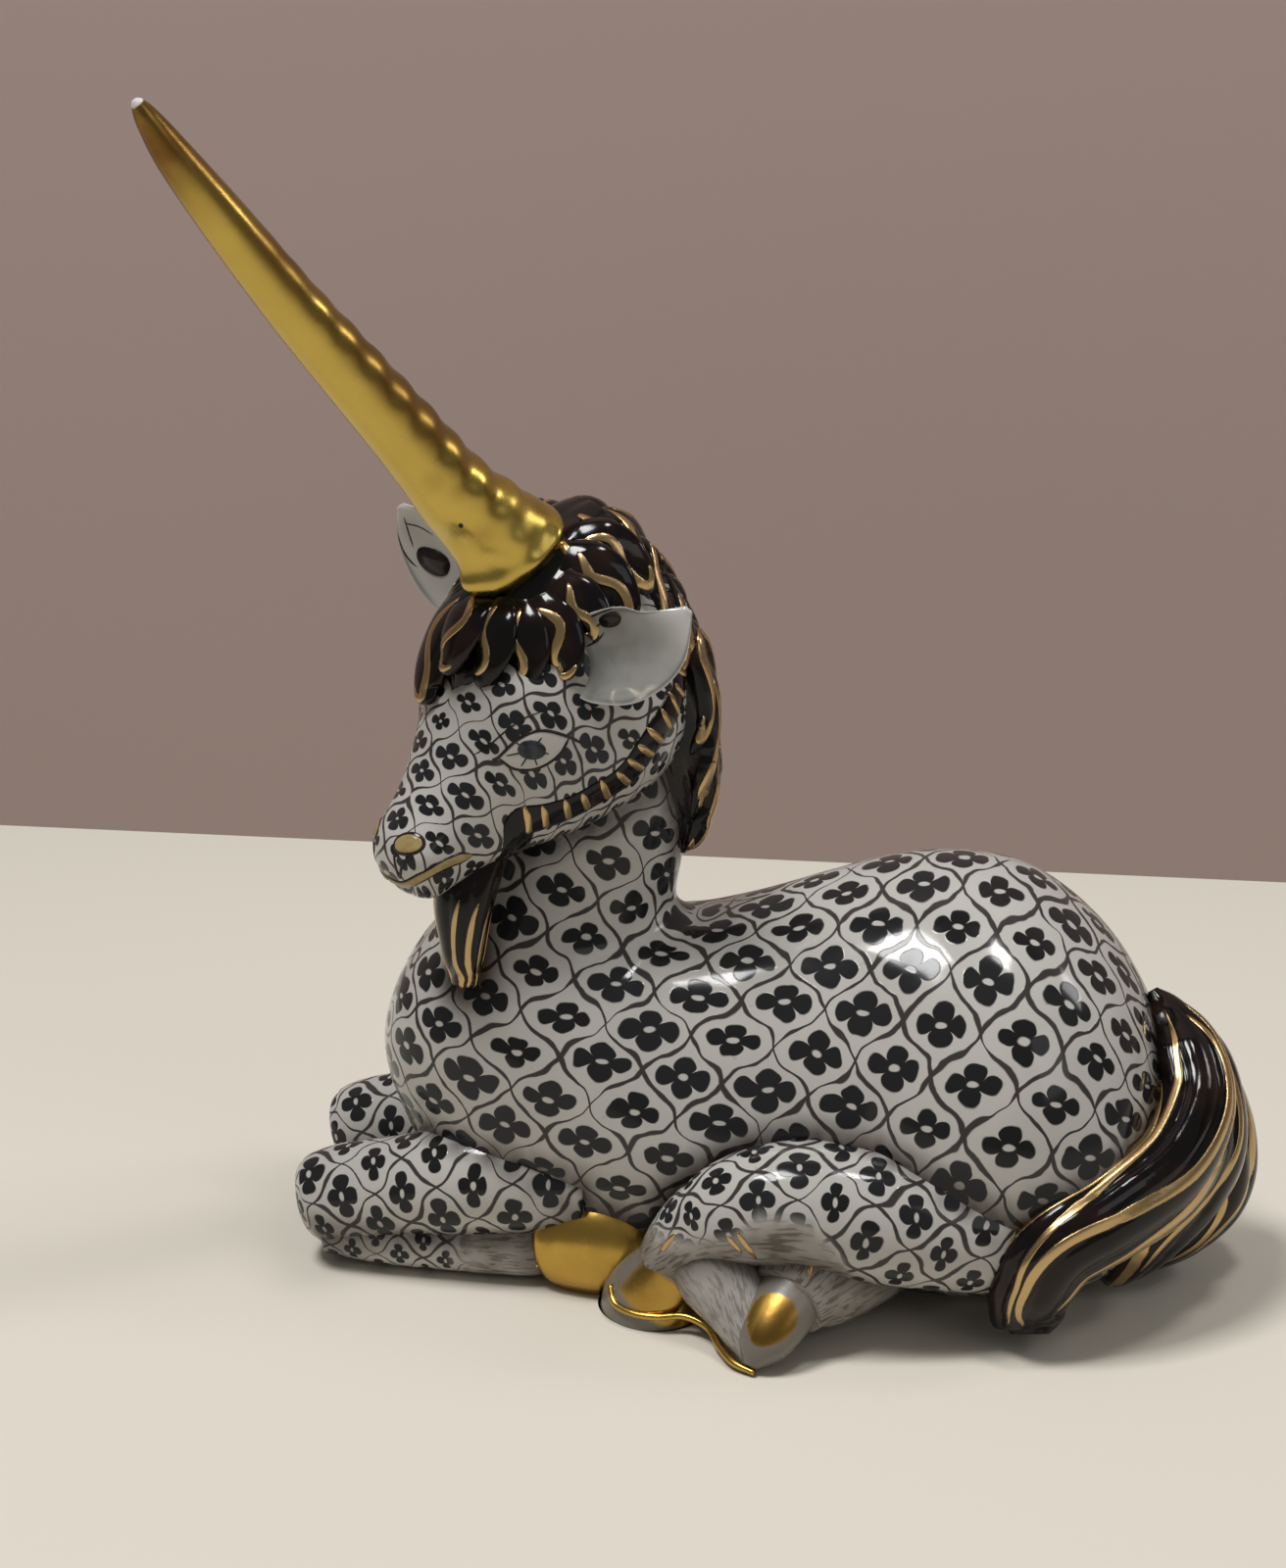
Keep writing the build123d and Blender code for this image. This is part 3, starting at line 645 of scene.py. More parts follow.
# Gold leaf fired on the glaze. Attributes: wear, which browns the gold where it is rubbed, and also as a
# painted dark reflection down the horn's back and painted shade on one side of each hoof; bare where it is
# chipped through to the body.
def gilding(name, bright, wornAndShaded, wear, relief=0.0001, body=colour(0.62, 0.6, 0.57)):
    material, tree, shader, place = newMaterial(name)
    rubbedAndShaded = calc(tree, "ADD", markOf(tree, "wear"), wear, clamp=True)
    gold = placeGroup(tree, goldGroup, Place=place, Bright=bright, Worn=wornAndShaded, Wear=rubbedAndShaded)
    tree.links.new(gold["Gloss"], shader.inputs["Roughness"])
    bare = markOf(tree, "bare")
    tree.links.new(blendColour(tree, bare, gold["Colour"], body), shader.inputs["Base Color"])
    tree.links.new(calc(tree, "SUBTRACT", 1.0, bare, clamp=True), shader.inputs["Metallic"])
    bumpInto(tree, shader, gold["Drag"], relief)
    return material


def darkPaint(name, deep, thin):  # brushed on: darker where the brush left more
    material, tree, shader, place = newMaterial(name, shine=0.3)
    brush = noiseOf(tree, place, 600.0)
    tone = blendColour(tree, soften(tree, brush, 0.35, 0.75), deep, thin)
    tree.links.new(tone, shader.inputs["Base Color"])
    tree.links.new(soften(tree, brush, 0.2, 0.8, 0.12, 0.3), shader.inputs["Roughness"])
    return material


coatMaterial = trellisGlaze("coatGlaze", line=0.021, petal=0.28, wobble=0.24)
headMaterial = trellisGlaze("headGlaze", line=0.024, petal=0.265, wobble=0.22)
legMaterial = trellisGlaze("legGlaze", line=0.026, petal=0.275, wobble=0.24, fineness=11.0)
hairMaterial, earMaterial = blackGlaze("hairGlaze"), earGlaze("earGlaze")
hornMaterial = gilding("hornGold", bright=colour(0.58, 0.42, 0.095), wornAndShaded=colour(0.18, 0.085, 0.022),
                       wear=0.1, relief=0.00008)
hoofMaterial = gilding("hoofGold", bright=colour(0.66, 0.43, 0.09), wornAndShaded=colour(0.2, 0.1, 0.025),
                       wear=0.45, body=colour(0.17, 0.15, 0.125))
strokeMaterial = gilding("strokeGold", bright=colour(0.6, 0.44, 0.21), wornAndShaded=colour(0.36, 0.21, 0.11),
                         wear=0.45)
lipMaterial = darkPaint("lipGold", deep=colour(0.3, 0.215, 0.085), thin=colour(0.4, 0.32, 0.15))
inkMaterial = darkPaint("inkLine", deep=colour(0.008, 0.006, 0.006), thin=colour(0.03, 0.019, 0.016))
irisMaterial = darkPaint("irisPaint", deep=colour(0.012, 0.014, 0.02), thin=colour(0.05, 0.056, 0.07))
print("materials ready")

# Trunk and neck, one glazed skin
coat = {
    # ridge x, ridge z, belly x, belly z, half width, from the poll down the neck and back to the rump
    "rows": [
        (-14.6, 74, -28, 69, 6.4), (-12.6, 70, -29.5, 64, 8.3), (-11.0, 63, -30.5, 56.5, 9.6),
        (-10.0, 55, -33, 48.5, 10.8), (-10.8, 48, -38, 41, 12.6), (-11.6, 42.4, -43.2, 33.5, 15.0),
        (-10.0, 40.4, -45.9, 25, 17.2), (-7.5, 40.8, -44.0, 16, 18.2), (-4.0, 42.0, -38.0, 6, 19.0),
        (0.5, 43.6, -24, -1.5, 19.8), (6.5, 45.8, -6, -3, 20.8), (14, 48.0, 10, -3, 22.8),
        (22, 48.6, 22, -3, 24.6), (29.5, 46.8, 32.5, -2, 24.6), (36.5, 41.6, 40, 1, 21.6),
        (41.5, 35.4, 44.2, 6, 15.5), (44.8, 28, 46.0, 13, 8.0), (45.8, 22, 46.0, 19, 0.5),
    ],
    "count": 190, "columns": 128, "cell": 9.3, "fuller": 0.12,
    # how near another piece comes, in mm, before glaze pools against it with painted shade, and how dark that
    # is
    "poolShadeReach": 3.4, "poolShadeGain": 1.25,
    # x, y, z, radius, height of the muscles, for the near side; the far side mirrors them
    "bumps": [
        (26, -21, 20, 12, 1.5), (24, -20, 34, 10, 0.7), (-24, -15, 27, 10, 1.3), (-12, -18, 17, 9, 0.6),
        (2, -20, 24, 9, -0.7), (-16, -11, 44, 7, -0.5), (33, -15, 36, 8, 0.5), (-37, -8, 27, 9, 0.6),
    ],
    # the creases, each with its width and depth
    "creases": [("haunchCrease", 2.2, 0.8), ("elbowCrease", 2.0, 0.8)],
    "haunchCrease": [(11.5, -20, 38), (11.0, -23.0, 31), (12.5, -24.0, 24), (14.5, -25, 17.5)],
    "elbowCrease": [(-27, -16.5, 15), (-18, -18.4, 12.5), (-9, -19.3, 12.5), (-2, -19.8, 15.5)],
}


# An egg-shaped ring at each row: a cosine carries it from the ridge to the belly, and a sine, a
# little fuller below, carries it out to the half width on each side
def coatGrid():
    rows = evenly(coat["rows"], coat["count"])
    turn = ringTurns(coat["columns"]) * turnFull
    share = (1 - np.cos(turn)) / 2
    x = rows[:, :1] + (rows[:, 2:3] - rows[:, :1]) * share
    z = rows[:, 1:2] + (rows[:, 3:4] - rows[:, 1:2]) * share
    y = -rows[:, 4:5] * np.sin(turn) * (1 - coat["fuller"] * np.cos(turn))
    mirrored = [(bx, -by, bz, radius, height) for bx, by, bz, radius, height in coat["bumps"]]
    grid = bumped(np.stack([x, y, z], -1), coat["bumps"] + mirrored)
    for key, width, depth in coat["creases"]:
        for side in (1, -1):
            grid = grooved(grid, np.array(coat[key]) * (1, side, 1), width, depth)
    return onGround(grid)


# Moves both ends of every spring of the net towards its rest length, over one link such as (1, 0),
# which joins each point to the next one down
def springPush(push, flat, coarse, link, stiffness):
    down, over = link
    a = (slice(0, -down or None), slice(max(-over, 0), -over if over > 0 else None))
    b = (slice(down, None), slice(max(over, 0), over if over < 0 else None))
    gap = flat[b] - flat[a]
    length = np.maximum(lengthOf(gap), 1e-6)
    pull = gap * ((1 - lengthOf(coarse[b] - coarse[a]) / length) * stiffness)[..., None]
    push[a] += pull
    push[b] -= pull


# Lays one half of the skin flat with springs between neighbours, so that the painted cells keep
# their size. The back's ridge and the throat stay straight, and the other half mirrors it.
def coatCells(grid):
    half = grid[:, :coat["columns"] // 2 + 1]
    rowStep, columnStep = 7, 4
    coarse = half[::rowStep, ::columnStep]
    last = len(coarse)
    spine, throat = slice(int(last * 0.55), last), slice(0, int(last * 0.42))
    ridge = coarse[:, 0, ::2].copy()
    fall = unit(coarse[:, -1, ::2] - ridge)
    ridge[spine, 0] = ridge[spine.start, 0] + runOf(lengthOf(np.diff(coarse[spine, 0], axis=0)))
    ridge[spine, 1] = ridge[spine.start, 1]
    around = runOf(lengthOf(np.diff(coarse, axis=1)))
    flat = ridge[:, None] + fall[:, None] * around[..., None]
    for settling in range(2500):
        push = np.zeros_like(flat)
        for link in ((1, 0), (0, 1), (1, 1), (1, -1)):
            springPush(push, flat, coarse, link, 0.11)
        flat += push
        flat[spine, 0, 1] = flat[spine, 0, 1].mean()
        flat[throat, -1, 0] = flat[throat, -1, 0].mean()
    flat -= (flat[0, -1, 0], flat[spine, 0, 1].mean())
    flat /= coat["cell"]
    rowPlace = np.arange(len(grid)) / rowStep
    columnPlace = np.arange(coat["columns"] // 2 + 1) / columnStep
    tall = easedRows(flat, np.minimum(rowPlace, last - 1))
    wide = easedRows(tall.transpose(1, 0, 2), columnPlace).transpose(1, 0, 2)
    return np.concatenate([wide, wide[:, -2::-1]], axis=1)


coatSkin = coatGrid()
print("coat skin shaped")

# The head's own frame: along the face, to the animal's left and out of the forehead, from the poll
headFrame = {"poll": (-24.0, -4.0, 80.5), "yaw": 45, "pitch": 49}
yaw, pitch = np.radians(headFrame["yaw"]), np.radians(headFrame["pitch"])
facingWay = np.array([-np.cos(yaw), -np.sin(yaw), 0])
alongFace = facingWay * np.cos(pitch) - upright * np.sin(pitch)
upFace = facingWay * np.sin(pitch) + upright * np.cos(pitch)
leftFace = np.cross(upright, facingWay)


def fromHead(points):  # along, left, up -> x, y, z
    points = np.asarray(points, float)
    return (headFrame["poll"] + points[..., :1] * alongFace + points[..., 1:2] * leftFace
            + points[..., 2:3] * upFace)


head = {
    # along, top, bottom, half width
    "rows": [
        (-8.5, -7, -10.5, 1.0), (-7.0, -1.6, -15.0, 5.0), (-3.5, 2.6, -18.5, 8.2), (2, 5.0, -20.8, 11.6),
        (8, 5.6, -23.2, 13.3), (13, 5.2, -22.8, 13.2), (18, 4.2, -20.6, 12.0), (23, 2.9, -17.2, 10.3),
        (28, 2.0, -13.0, 7.7), (32, 1.8, -10.0, 5.9), (35.0, 1.5, -8.6, 4.7), (37.2, 0.2, -7.5, 3.7),
        (38.2, -1.4, -6.1, 2.4), (38.6, -3.0, -4.5, 0.7),
    ],
    "count": 150, "columns": 112, "cell": 6.6, "lean": 0.75,
    "leanAlong": (22, 33), "mouthWidth": 0.5, "mouthDepth": 0.3,
    # how near another piece comes, in mm, before glaze pools against it with painted shade, and how dark that
    # is
    "poolShadeReach": 2.0, "poolShadeGain": 0.6,
    # along, left, up, radius, height; both sides get them
    "bumps": [
        (14.8, 9.4, 2.4, 3.6, 0.9), (19.3, 11.0, -1.2, 2.9, 0.8), (23.2, 8.8, 0.4, 3.4, -0.6),
        (10.5, 11.5, -12, 7.5, 0.9), (27.0, 8.2, -3.5, 4.5, -0.7), (35.6, 5.6, -0.8, 2.5, 0.8),
        (34.0, 4.6, -1.0, 2.6, 0.6), (27.5, 7.4, -7.0, 2.6, 0.5),
    ],
    "mouth": [
        (38.7, 0.0, -3.0), (38.4, 2.4, -3.2), (37.1, 5.8, -2.8), (35.3, 7.1, -3.6), (33.6, 7.6, -4.9),
        (32.1, 7.9, -6.4),
    ],
}


# An oval between top and bottom at each row, with a flat bridge and a round jaw, which leans to the
# near side towards the muzzle
def headGridPlain():
    rows = evenly(head["rows"], head["count"])
    turn = ringTurns(head["columns"]) * turnFull
    middle, halfDepth = (rows[:, 1:2] + rows[:, 2:3]) / 2, (rows[:, 1:2] - rows[:, 2:3]) / 2
    along = np.broadcast_to(rows[:, :1], (len(rows), len(turn)))
    boxy = 0.88 + 0.12 * smoothStep(0.3, -0.3, np.cos(turn))
    left = rows[:, 3:4] * boxed(np.sin(turn), boxy)
    left = left + head["lean"] * smoothStep(*head["leanAlong"], rows[:, :1])
    up = middle + halfDepth * boxed(np.cos(turn), boxy)
    return np.stack([along, left, up], -1)


headBumps = [(a, side * l, u, radius, height)
             for a, l, u, radius, height in head["bumps"] for side in (1, -1)]
headLocal = bumped(headGridPlain(), headBumps)
for side in (1, -1):
    mouth = np.array(head["mouth"]) * (1, side, 1)
    headLocal = grooved(headLocal, mouth, head["mouthWidth"], head["mouthDepth"])
headSkin = fromHead(headLocal)
print("head shaped")

# Horn
horn = {
    # foot and tip: along, left, up
    "foot": (3.9, 0, 4.5), "tip": (-7.67, 0, 71.4), "count": 260, "columns": 72,
    # share of the length, bow away from the nose in mm, radius
    "rows": [
        (0.0, 2.2, 4.8), (0.03, 2.5, 5.3), (0.06, 2.5, 5.6), (0.09, 2.2, 5.4), (0.14, 1.6, 5.0),
        (0.2, 1.0, 4.5), (0.27, 0.8, 4.1), (0.36, 0.6, 3.8), (0.5, 0.1, 3.4), (0.63, -0.3, 3.0),
        (0.78, -0.4, 2.55), (0.9, -0.4, 1.95), (0.965, -0.15, 1.3), (0.992, 0, 0.75), (1.0, 0, 0.35),
    ],
    # share of the length, degrees round, strength of the olive patches
    "patches": [
        (0.27, 60, 0.45), (0.235, 78, 0.5), (0.17, 100, 0.5), (0.15, 60, 0.35), (0.1, 128, 0.55),
        (0.36, 85, 0.3),
    ],
    "twistStep": 4.3, "twistDepth": 0.03, "lumpDepth": 0.035, "flareDepth": 0.12,
    # the back in radians round, how dark the painted reflection down the back is and how worn the tip is, and
    # shares of the length for chip and speck
    "back": 2.75, "backWear": 0.8, "tipWear": 1.0, "chip": (0.9925, 0.9945), "speck": (0.336, 0.125),
    # lip and dents at the foot: x, y, z, radius, height
    "lip": [
        (-32.2, -12.6, 81.9, 1.9, 1.5), (-29.4, -13.6, 81.2, 2.0, 0.8), (-33.2, -15.4, 86.2, 2.4, -0.7),
        (-23.9, -12.8, 85.6, 1.8, -0.55), (-26.6, -14.4, 86.4, 1.8, 0.45),
        (-29.6, -14.9, 84.6, 1.7, -0.35),
    ],
}


# A tapering rod along a slightly bowed line from foot to tip: a cosine that turns with the height
# gives it spiral lumps, and slower waves make the foot uneven
def hornGridOf():
    foot, tip = np.array(horn["foot"], float), np.array(horn["tip"], float)
    way, length = unit(tip - foot), np.linalg.norm(tip - foot)
    rows = evenly(horn["rows"], horn["count"])
    across = -unit(np.cross(way, (0, 1, 0)))
    along = rows[:, :1]
    centre = foot + way * (along * length) - across * rows[:, 1:2]
    turn = ringTurns(horn["columns"]) * turnFull
    fade = smoothStep(0.06, 0.16, along) * (1 - smoothStep(0.45, 0.85, along))
    twist = np.cos(turnFull * along * length / horn["twistStep"] - turn)
    twist = twist * smoothStep(-0.1, 0.8, np.cos(turn - horn["back"]))
    lumps = horn["lumpDepth"] * np.cos(2 * turn + 9 * along) * (1 - smoothStep(0.1, 0.3, along))
    flare = horn["flareDepth"] * np.exp(-((along - 0.055) / 0.022) ** 2)
    flare = flare * (0.6 + 0.8 * np.sin(turn) ** 2 + 0.3 * np.cos(3 * turn + 1))
    radius = rows[:, 2:3] * (1 + horn["twistDepth"] * fade * twist + lumps + flare)
    spokes = np.cos(turn)[None, :, None] * across + np.sin(turn)[None, :, None] * np.array([0, 1.0, 0])
    return fromHead(centre[:, None] + spokes * radius[..., None])


def hornWearOf(share, turn):  # a painted dark reflection browns the back; the tip and a few olive patches are browner too
    back = smoothStep(-0.1, 0.5, np.cos(turn - horn["back"]))[None]
    wear = horn["backWear"] * back * smoothStep(0.12, 0.34, share)[:, None]
    wear = np.maximum(wear, horn["tipWear"] * smoothStep(0.76, 0.95, share)[:, None])
    for place, degrees, strength in horn["patches"]:
        spread = ((share - place) / 0.02)[:, None] ** 2 + ((turn - np.radians(degrees)) / 0.3)[None] ** 2
        wear = np.maximum(wear, strength * np.exp(-spread))
    return wear


hornSkin = bumped(hornGridOf(), horn["lip"])
hornShare = evenly(horn["rows"], horn["count"])[:, 0]
hornWear = hornWearOf(hornShare, ringTurns(horn["columns"]) * turnFull)
bareTip = np.broadcast_to(smoothStep(*horn["chip"], hornShare)[:, None], hornSkin.shape[:2])
makePiece("hornShaft", [hornSkin], hornMaterial, ["horn"],
          marks={"bare": [bareTip], "wear": [hornWear]})
print("horn made")

# Ears
ears = {
    # the way that the cup opens and the axis from root to tip, both along, left, up; half widths; the
    # depth of the cup, the thickness, and how dark the inside is: grey-green glaze with painted shade, darker
    # on the near ear
    "earLeft": {
        "node": "ear_left", "front": (0.32, 0.56, 0.76),
        "axis": [
            (8.3, 8.6, 0.3), (7.6, 11.3, -0.3), (6.7, 13.8, -0.9), (5.3, 16.0, -1.6), (2.7, 17.8, -2.3),
            (-1.7, 19.2, -2.4),
        ],
        "widths": [3.0, 4.5, 5.1, 5.2, 4.0, 0.5], "curl": 2.0, "thick": 1.7, "shade": 0.85,
    },
    "earRight": {
        "node": "ear_right", "front": (0.75, 0.25, 0.45),
        "axis": [
            (8.0, -7.6, 0.6), (6.4, -9.6, 2.2), (5.0, -12.0, 4.4), (3.6, -14.4, 7.0), (2.3, -16.6, 9.6),
            (1.4, -18.0, 11.6),
        ],
        "widths": [2.6, 4.3, 5.0, 4.8, 3.4, 0.6], "curl": 2.0, "thick": 1.7, "shade": 0.3,
    },
}


# A leaf carried along its axis: across it the curl is a parabola, and the thickness a sine round it
def earGridOf(values):
    count, columns = 60, 56
    axis = evenly(values["axis"], count)
    width = evenly(np.array(values["widths"])[:, None], count)
    tangent = unit(np.gradient(axis, axis=0))
    front = np.asarray(values["front"])
    front = unit(front - tangent * (tangent @ front)[:, None])
    side = np.cross(tangent, front)
    turn = ringTurns(columns) * turnFull
    x = boxed(np.cos(turn), 0.85)
    share = alongOf(axis)
    thick = values["thick"] * (1 - 0.45 * share)
    curl = values["curl"] * np.sin(np.pi * np.clip(share * 0.8 + 0.12, 0, 1)) * width / width.max()
    depth = curl * x**2 * 1.3 - curl * 0.7 + thick / 2 * np.sin(turn) * (1.15 - 0.35 * x**2)
    leaf = axis[:, None] + side[:, None] * (width * x)[..., None] + front[:, None] * depth[..., None]
    return fromHead(leaf), x, turn, share


earSkins = {}
for name, values in ears.items():
    skin, x, turn, share = earGridOf(values)
    opening = smoothStep(0.0, 0.35, np.sin(turn))[None]
    # inside the cup: grey-green glaze, darkened as painted shade towards the ear's base and on the near ear
    cupTintAndShade = opening * (1 - smoothStep(0.92, 1.05, np.abs(x)))[None]
    cupTintAndShade = cupTintAndShade * smoothStep(0.08, 0.3, share) * (1 - smoothStep(0.8, 0.98, share))
    rim = np.exp(-((np.abs(x) - 0.93) / 0.05) ** 2)[None] * opening * smoothStep(0.25, 0.5, share) * 0.55
    marks = {"cupTintAndShade": [cupTintAndShade * values["shade"] * (1.15 - 0.45 * share)], "ink": [rim]}
    makePiece(name, [skin], earMaterial, [values["node"]], marks=marks)
    earSkins[name] = skin
print("ears made")

# Hair
hair = {
    "mane": {
        "rows": [  # x, y, z, half width, half depth
            (-28.0, -3.8, 82.6, 8.0, 3.4), (-23.8, -3.0, 84.6, 9.4, 3.4), (-20.1, -1.8, 84.3, 9.6, 3.2),
            (-17.6, -0.9, 81.8, 9.2, 3.0), (-14.8, -0.4, 77.4, 8.4, 2.9), (-12.6, 0, 73.3, 7.4, 2.8),
            (-11.0, 0, 69.5, 6.6, 2.7), (-10.2, 0, 63.4, 5.6, 2.6), (-10.2, 0, 56.7, 4.6, 2.5),
            (-10.9, 0, 50.6, 3.0, 2.0), (-11.4, 0, 48.0, 1.0, 1.0),
        ],
        "hub": (-20, 0, 71.5), "count": 170, "columns": 96, "wrap": 0.3,
        "locks": [  # s and t of the near side's locks on the mane; the far side mirrors them
            [(0.01, 0.03), (0.07, 0.10), (0.12, 0.17), (0.14, 0.24)],
            [(0.08, 0.0), (0.16, 0.08), (0.22, 0.15), (0.25, 0.22)],
            [(0.17, -0.01), (0.25, 0.06), (0.32, 0.12), (0.36, 0.2)],
            [(0.27, -0.01), (0.35, 0.05), (0.43, 0.1), (0.48, 0.18)],
            [(0.37, -0.01), (0.46, 0.05), (0.54, 0.09), (0.6, 0.16)],
            [(0.48, -0.01), (0.57, 0.05), (0.66, 0.08), (0.73, 0.14)],
            [(0.59, -0.01), (0.68, 0.04), (0.78, 0.07), (0.86, 0.12)],
            [(0.71, -0.01), (0.8, 0.03), (0.9, 0.06), (0.97, 0.1)],
        ],
        "lockWidth": 1.75, "lockHeight": 1.15, "jitter": 0.012,
    },
    "forelock": {
        "rows": [
            (-7, 0, 0.6, 7.5, 3.4), (-3, 0, 2.6, 9.8, 4.0), (2, 0, 4.0, 11.2, 4.2),
            (7, 0, 4.1, 10.6, 3.6), (12, 0, 3.7, 8.4, 2.9), (15.2, 0, 3.6, 5.4, 2.2),
            (17.2, 0, 3.5, 1.6, 1.0),
        ],
        "count": 110, "columns": 112, "wrap": 0.35, "reach": {1: 0.68, -1: 1.1}, "stretch": (1.35, 0.85),
        # along, left, up, half width, half depth; all but the first have a twin on the far side. `reach`
        # scales them along the face, on the near side and the far one, and `stretch` their half sizes.
        "locks": [
            [
                (7.0, 0.3, 7.2, 1.6, 1.2), (11, 0.6, 8.0, 2.5, 1.4), (15.4, 0.2, 7.5, 2.5, 1.4),
                (18.6, -0.6, 6.4, 1.8, 1.2), (20.0, -1.9, 6.0, 0.5, 0.5),
            ],
            [
                (7.0, 2.8, 7.0, 1.6, 1.2), (11, 3.9, 7.1, 2.4, 1.3), (14.8, 4.3, 5.9, 2.4, 1.3),
                (17.8, 3.6, 4.7, 1.7, 1.1), (18.9, 2.3, 4.4, 0.5, 0.5),
            ],
            [
                (6.6, 4.8, 6.4, 1.6, 1.2), (9.8, 6.5, 5.7, 2.3, 1.3), (12.8, 7.4, 4.2, 2.3, 1.2),
                (15.5, 7.4, 2.9, 1.6, 1.0), (16.8, 6.4, 2.7, 0.5, 0.5),
            ],
            [
                (5.2, 6.4, 5.8, 1.6, 1.1), (7.2, 8.4, 4.5, 2.2, 1.2), (9.6, 9.8, 2.7, 2.2, 1.1),
                (12.2, 10.4, 1.1, 1.5, 0.9), (13.5, 9.8, 0.8, 0.4, 0.4),
            ],
            [
                (2.6, 7.2, 5.4, 1.6, 1.1), (3.4, 9.2, 3.8, 2.1, 1.2), (4.8, 10.6, 1.9, 2.0, 1.1),
                (6.4, 11.2, 0.6, 1.1, 0.8), (7.2, 11.0, 0.2, 0.4, 0.4),
            ],
            [
                (-0.6, 6.2, 5.4, 1.6, 1.1), (-1.0, 8.2, 3.9, 2.2, 1.2), (-0.4, 9.8, 1.6, 2.2, 1.1),
                (1.0, 11.0, -1.2, 1.4, 0.9), (2.2, 11.4, -2.8, 0.4, 0.4),
            ],
            [
                (-3.4, 5.0, 4.8, 1.6, 1.1), (-4.2, 6.8, 3.4, 2.2, 1.2), (-4.2, 8.2, 1.0, 2.2, 1.1),
                (-3.2, 9.4, -2.0, 1.4, 0.9), (-2.2, 9.8, -3.8, 0.4, 0.4),
            ],
        ],
    },
    "beard": {
        "rows": [
            (27, 1, -9.0, 3.4, 2.6), (31.5, 1.1, -9.8, 4.2, 3.0), (36, 1.3, -11.6, 4.0, 2.8),
            (40.0, 1.3, -14.9, 3.0, 2.2), (41.8, 1.2, -16.7, 2.2, 1.6), (42.9, 1.1, -17.8, 1.8, 1.3),
            (43.4, 1.1, -18.3, 0.5, 0.4),
        ],
        "count": 110, "columns": 64,
    },
    # s, t of the gold down one lock, as a hook of the painter's brush
    "hook": [
        (0.12, -0.03), (0.34, 0.04), (0.6, -0.04), (0.78, -0.02), (0.87, 0.05), (0.84, 0.13), (0.7, 0.15),
    ],
    "strokeWidth": 0.6, "strokeHeight": 0.09,
}
mane, forelock, beard = hair["mane"], hair["forelock"], hair["beard"]


def maneSwell(along, turn):  # locks that lean down the neck, and slow curls across them
    wave = locks(along, turn, 9, 1.6 * np.sin(2.5 * np.pi * along), 0.10)
    curls = 0.05 * np.sin(turnFull * (3.5 * along + 1.5 * np.sin(turnFull * turn)))
    return 1 + (wave + curls) * smoothStep(0, 0.1, along)


def foreSwell(along, turn):  # finer locks that wave once from front to back
    return 1 + locks(along, turn, 14, 0.6 * np.sin(2 * np.pi * along), 0.08, 0.25)


def beardSwell(along, turn):  # a few locks that twist down the tuft, from nothing at the chin
    wave = locks(along, turn, 7, 0.9 * np.sin(np.pi * 1.5 * along), 0.12)
    return 1 + wave * smoothStep(0.05, 0.25, along)


# The painter's hooks on top of lock grids: `crown` is the turn where a lock's top is
def hooksOn(lockGrids, crown, hand):
    grids = []
    for k, grid in enumerate(lockGrids):
        path = np.array(hair["hook"]) * (1, hand * (1 if k % 3 else -1)) + (0, crown)
        path += wobbleSource.normal(0, 0.008, path.shape)
        grids += strokeGrids(grid, [path], hair["strokeWidth"], hair["strokeHeight"],
                             samples=36, blunt=0.2)
    return grids


# One lock of the forelock, on the near side for a `hand` of 1 and the far side for -1: scaled along
# the face from its crown and moved by `shift`. The locks further down the cheek face more outwards.
def browLock(k, lock, hand, shift):
    reach, crown = forelock["reach"][hand], lock[0][0]
    wider, flatter = forelock["stretch"]
    rows = [tuple(fromHead((crown + (a - crown) * reach + shift[0], hand * l + shift[1], u)))
            + (w * wider, d * flatter) for a, l, u, w, d in lock]
    return limbGrid(rows, count=56, columns=28, facing=upFace + 0.4 * hand * min(k, 3) / 3 * leftFace)


def headRows(rows):  # rows whose first three values are in the head's frame
    return [tuple(fromHead(row[:3])) + row[3:] for row in rows]


maneSkin = limbGrid(mane["rows"], mane["count"], mane["columns"], hub=mane["hub"],
                    swell=maneSwell, wrap=mane["wrap"])
maneLocks = {1: [], -1: []}
for hand, made in maneLocks.items():
    for path in mane["locks"]:
        path = np.array(path) * (1, hand) + wobbleSource.normal(0, mane["jitter"], (len(path), 2))
        made += strokeGrids(maneSkin, [path + (0, 1)], mane["lockWidth"], mane["lockHeight"],
                            samples=44, blunt=0.45, columns=24)
capSkin = limbGrid(headRows(forelock["rows"]), forelock["count"], forelock["columns"], facing=upFace,
                   swell=foreSwell, wrap=forelock["wrap"])
browLocks = [browLock(k, lock, 1, (0, 0)) for k, lock in enumerate(forelock["locks"])]
for k, lock in list(enumerate(forelock["locks"]))[1:]:
    browLocks.append(browLock(k, lock, -1, wobbleSource.normal(0, 0.25, 2)))
beardSkin = limbGrid(headRows(beard["rows"]), beard["count"], beard["columns"],
                     facing=np.cross(alongFace, leftFace), swell=beardSwell)
makePiece("maneLocks", [maneSkin] + maneLocks[1] + maneLocks[-1], hairMaterial, ["mane"])
makePiece("forelockLocks", [capSkin] + browLocks, hairMaterial, ["forelock"])
makePiece("beardTuft", [beardSkin], hairMaterial, ["beard"])
beardPaths = [[(0.3, turn), (0.5, turn + 0.03), (0.7, turn - 0.015), (0.96 - 0.1 * (k % 2), turn + 0.02)]
              for k, turn in enumerate(np.arange(0.06, 1, 0.105))]
hairStrokes = hooksOn(maneLocks[1], 0.25, 1) + hooksOn(maneLocks[-1], 0.25, -1) + hooksOn(browLocks, 0.0, 1)
hairStrokes += strokeGrids(beardSkin, beardPaths, 0.4, hair["strokeHeight"], samples=36, blunt=0.2)

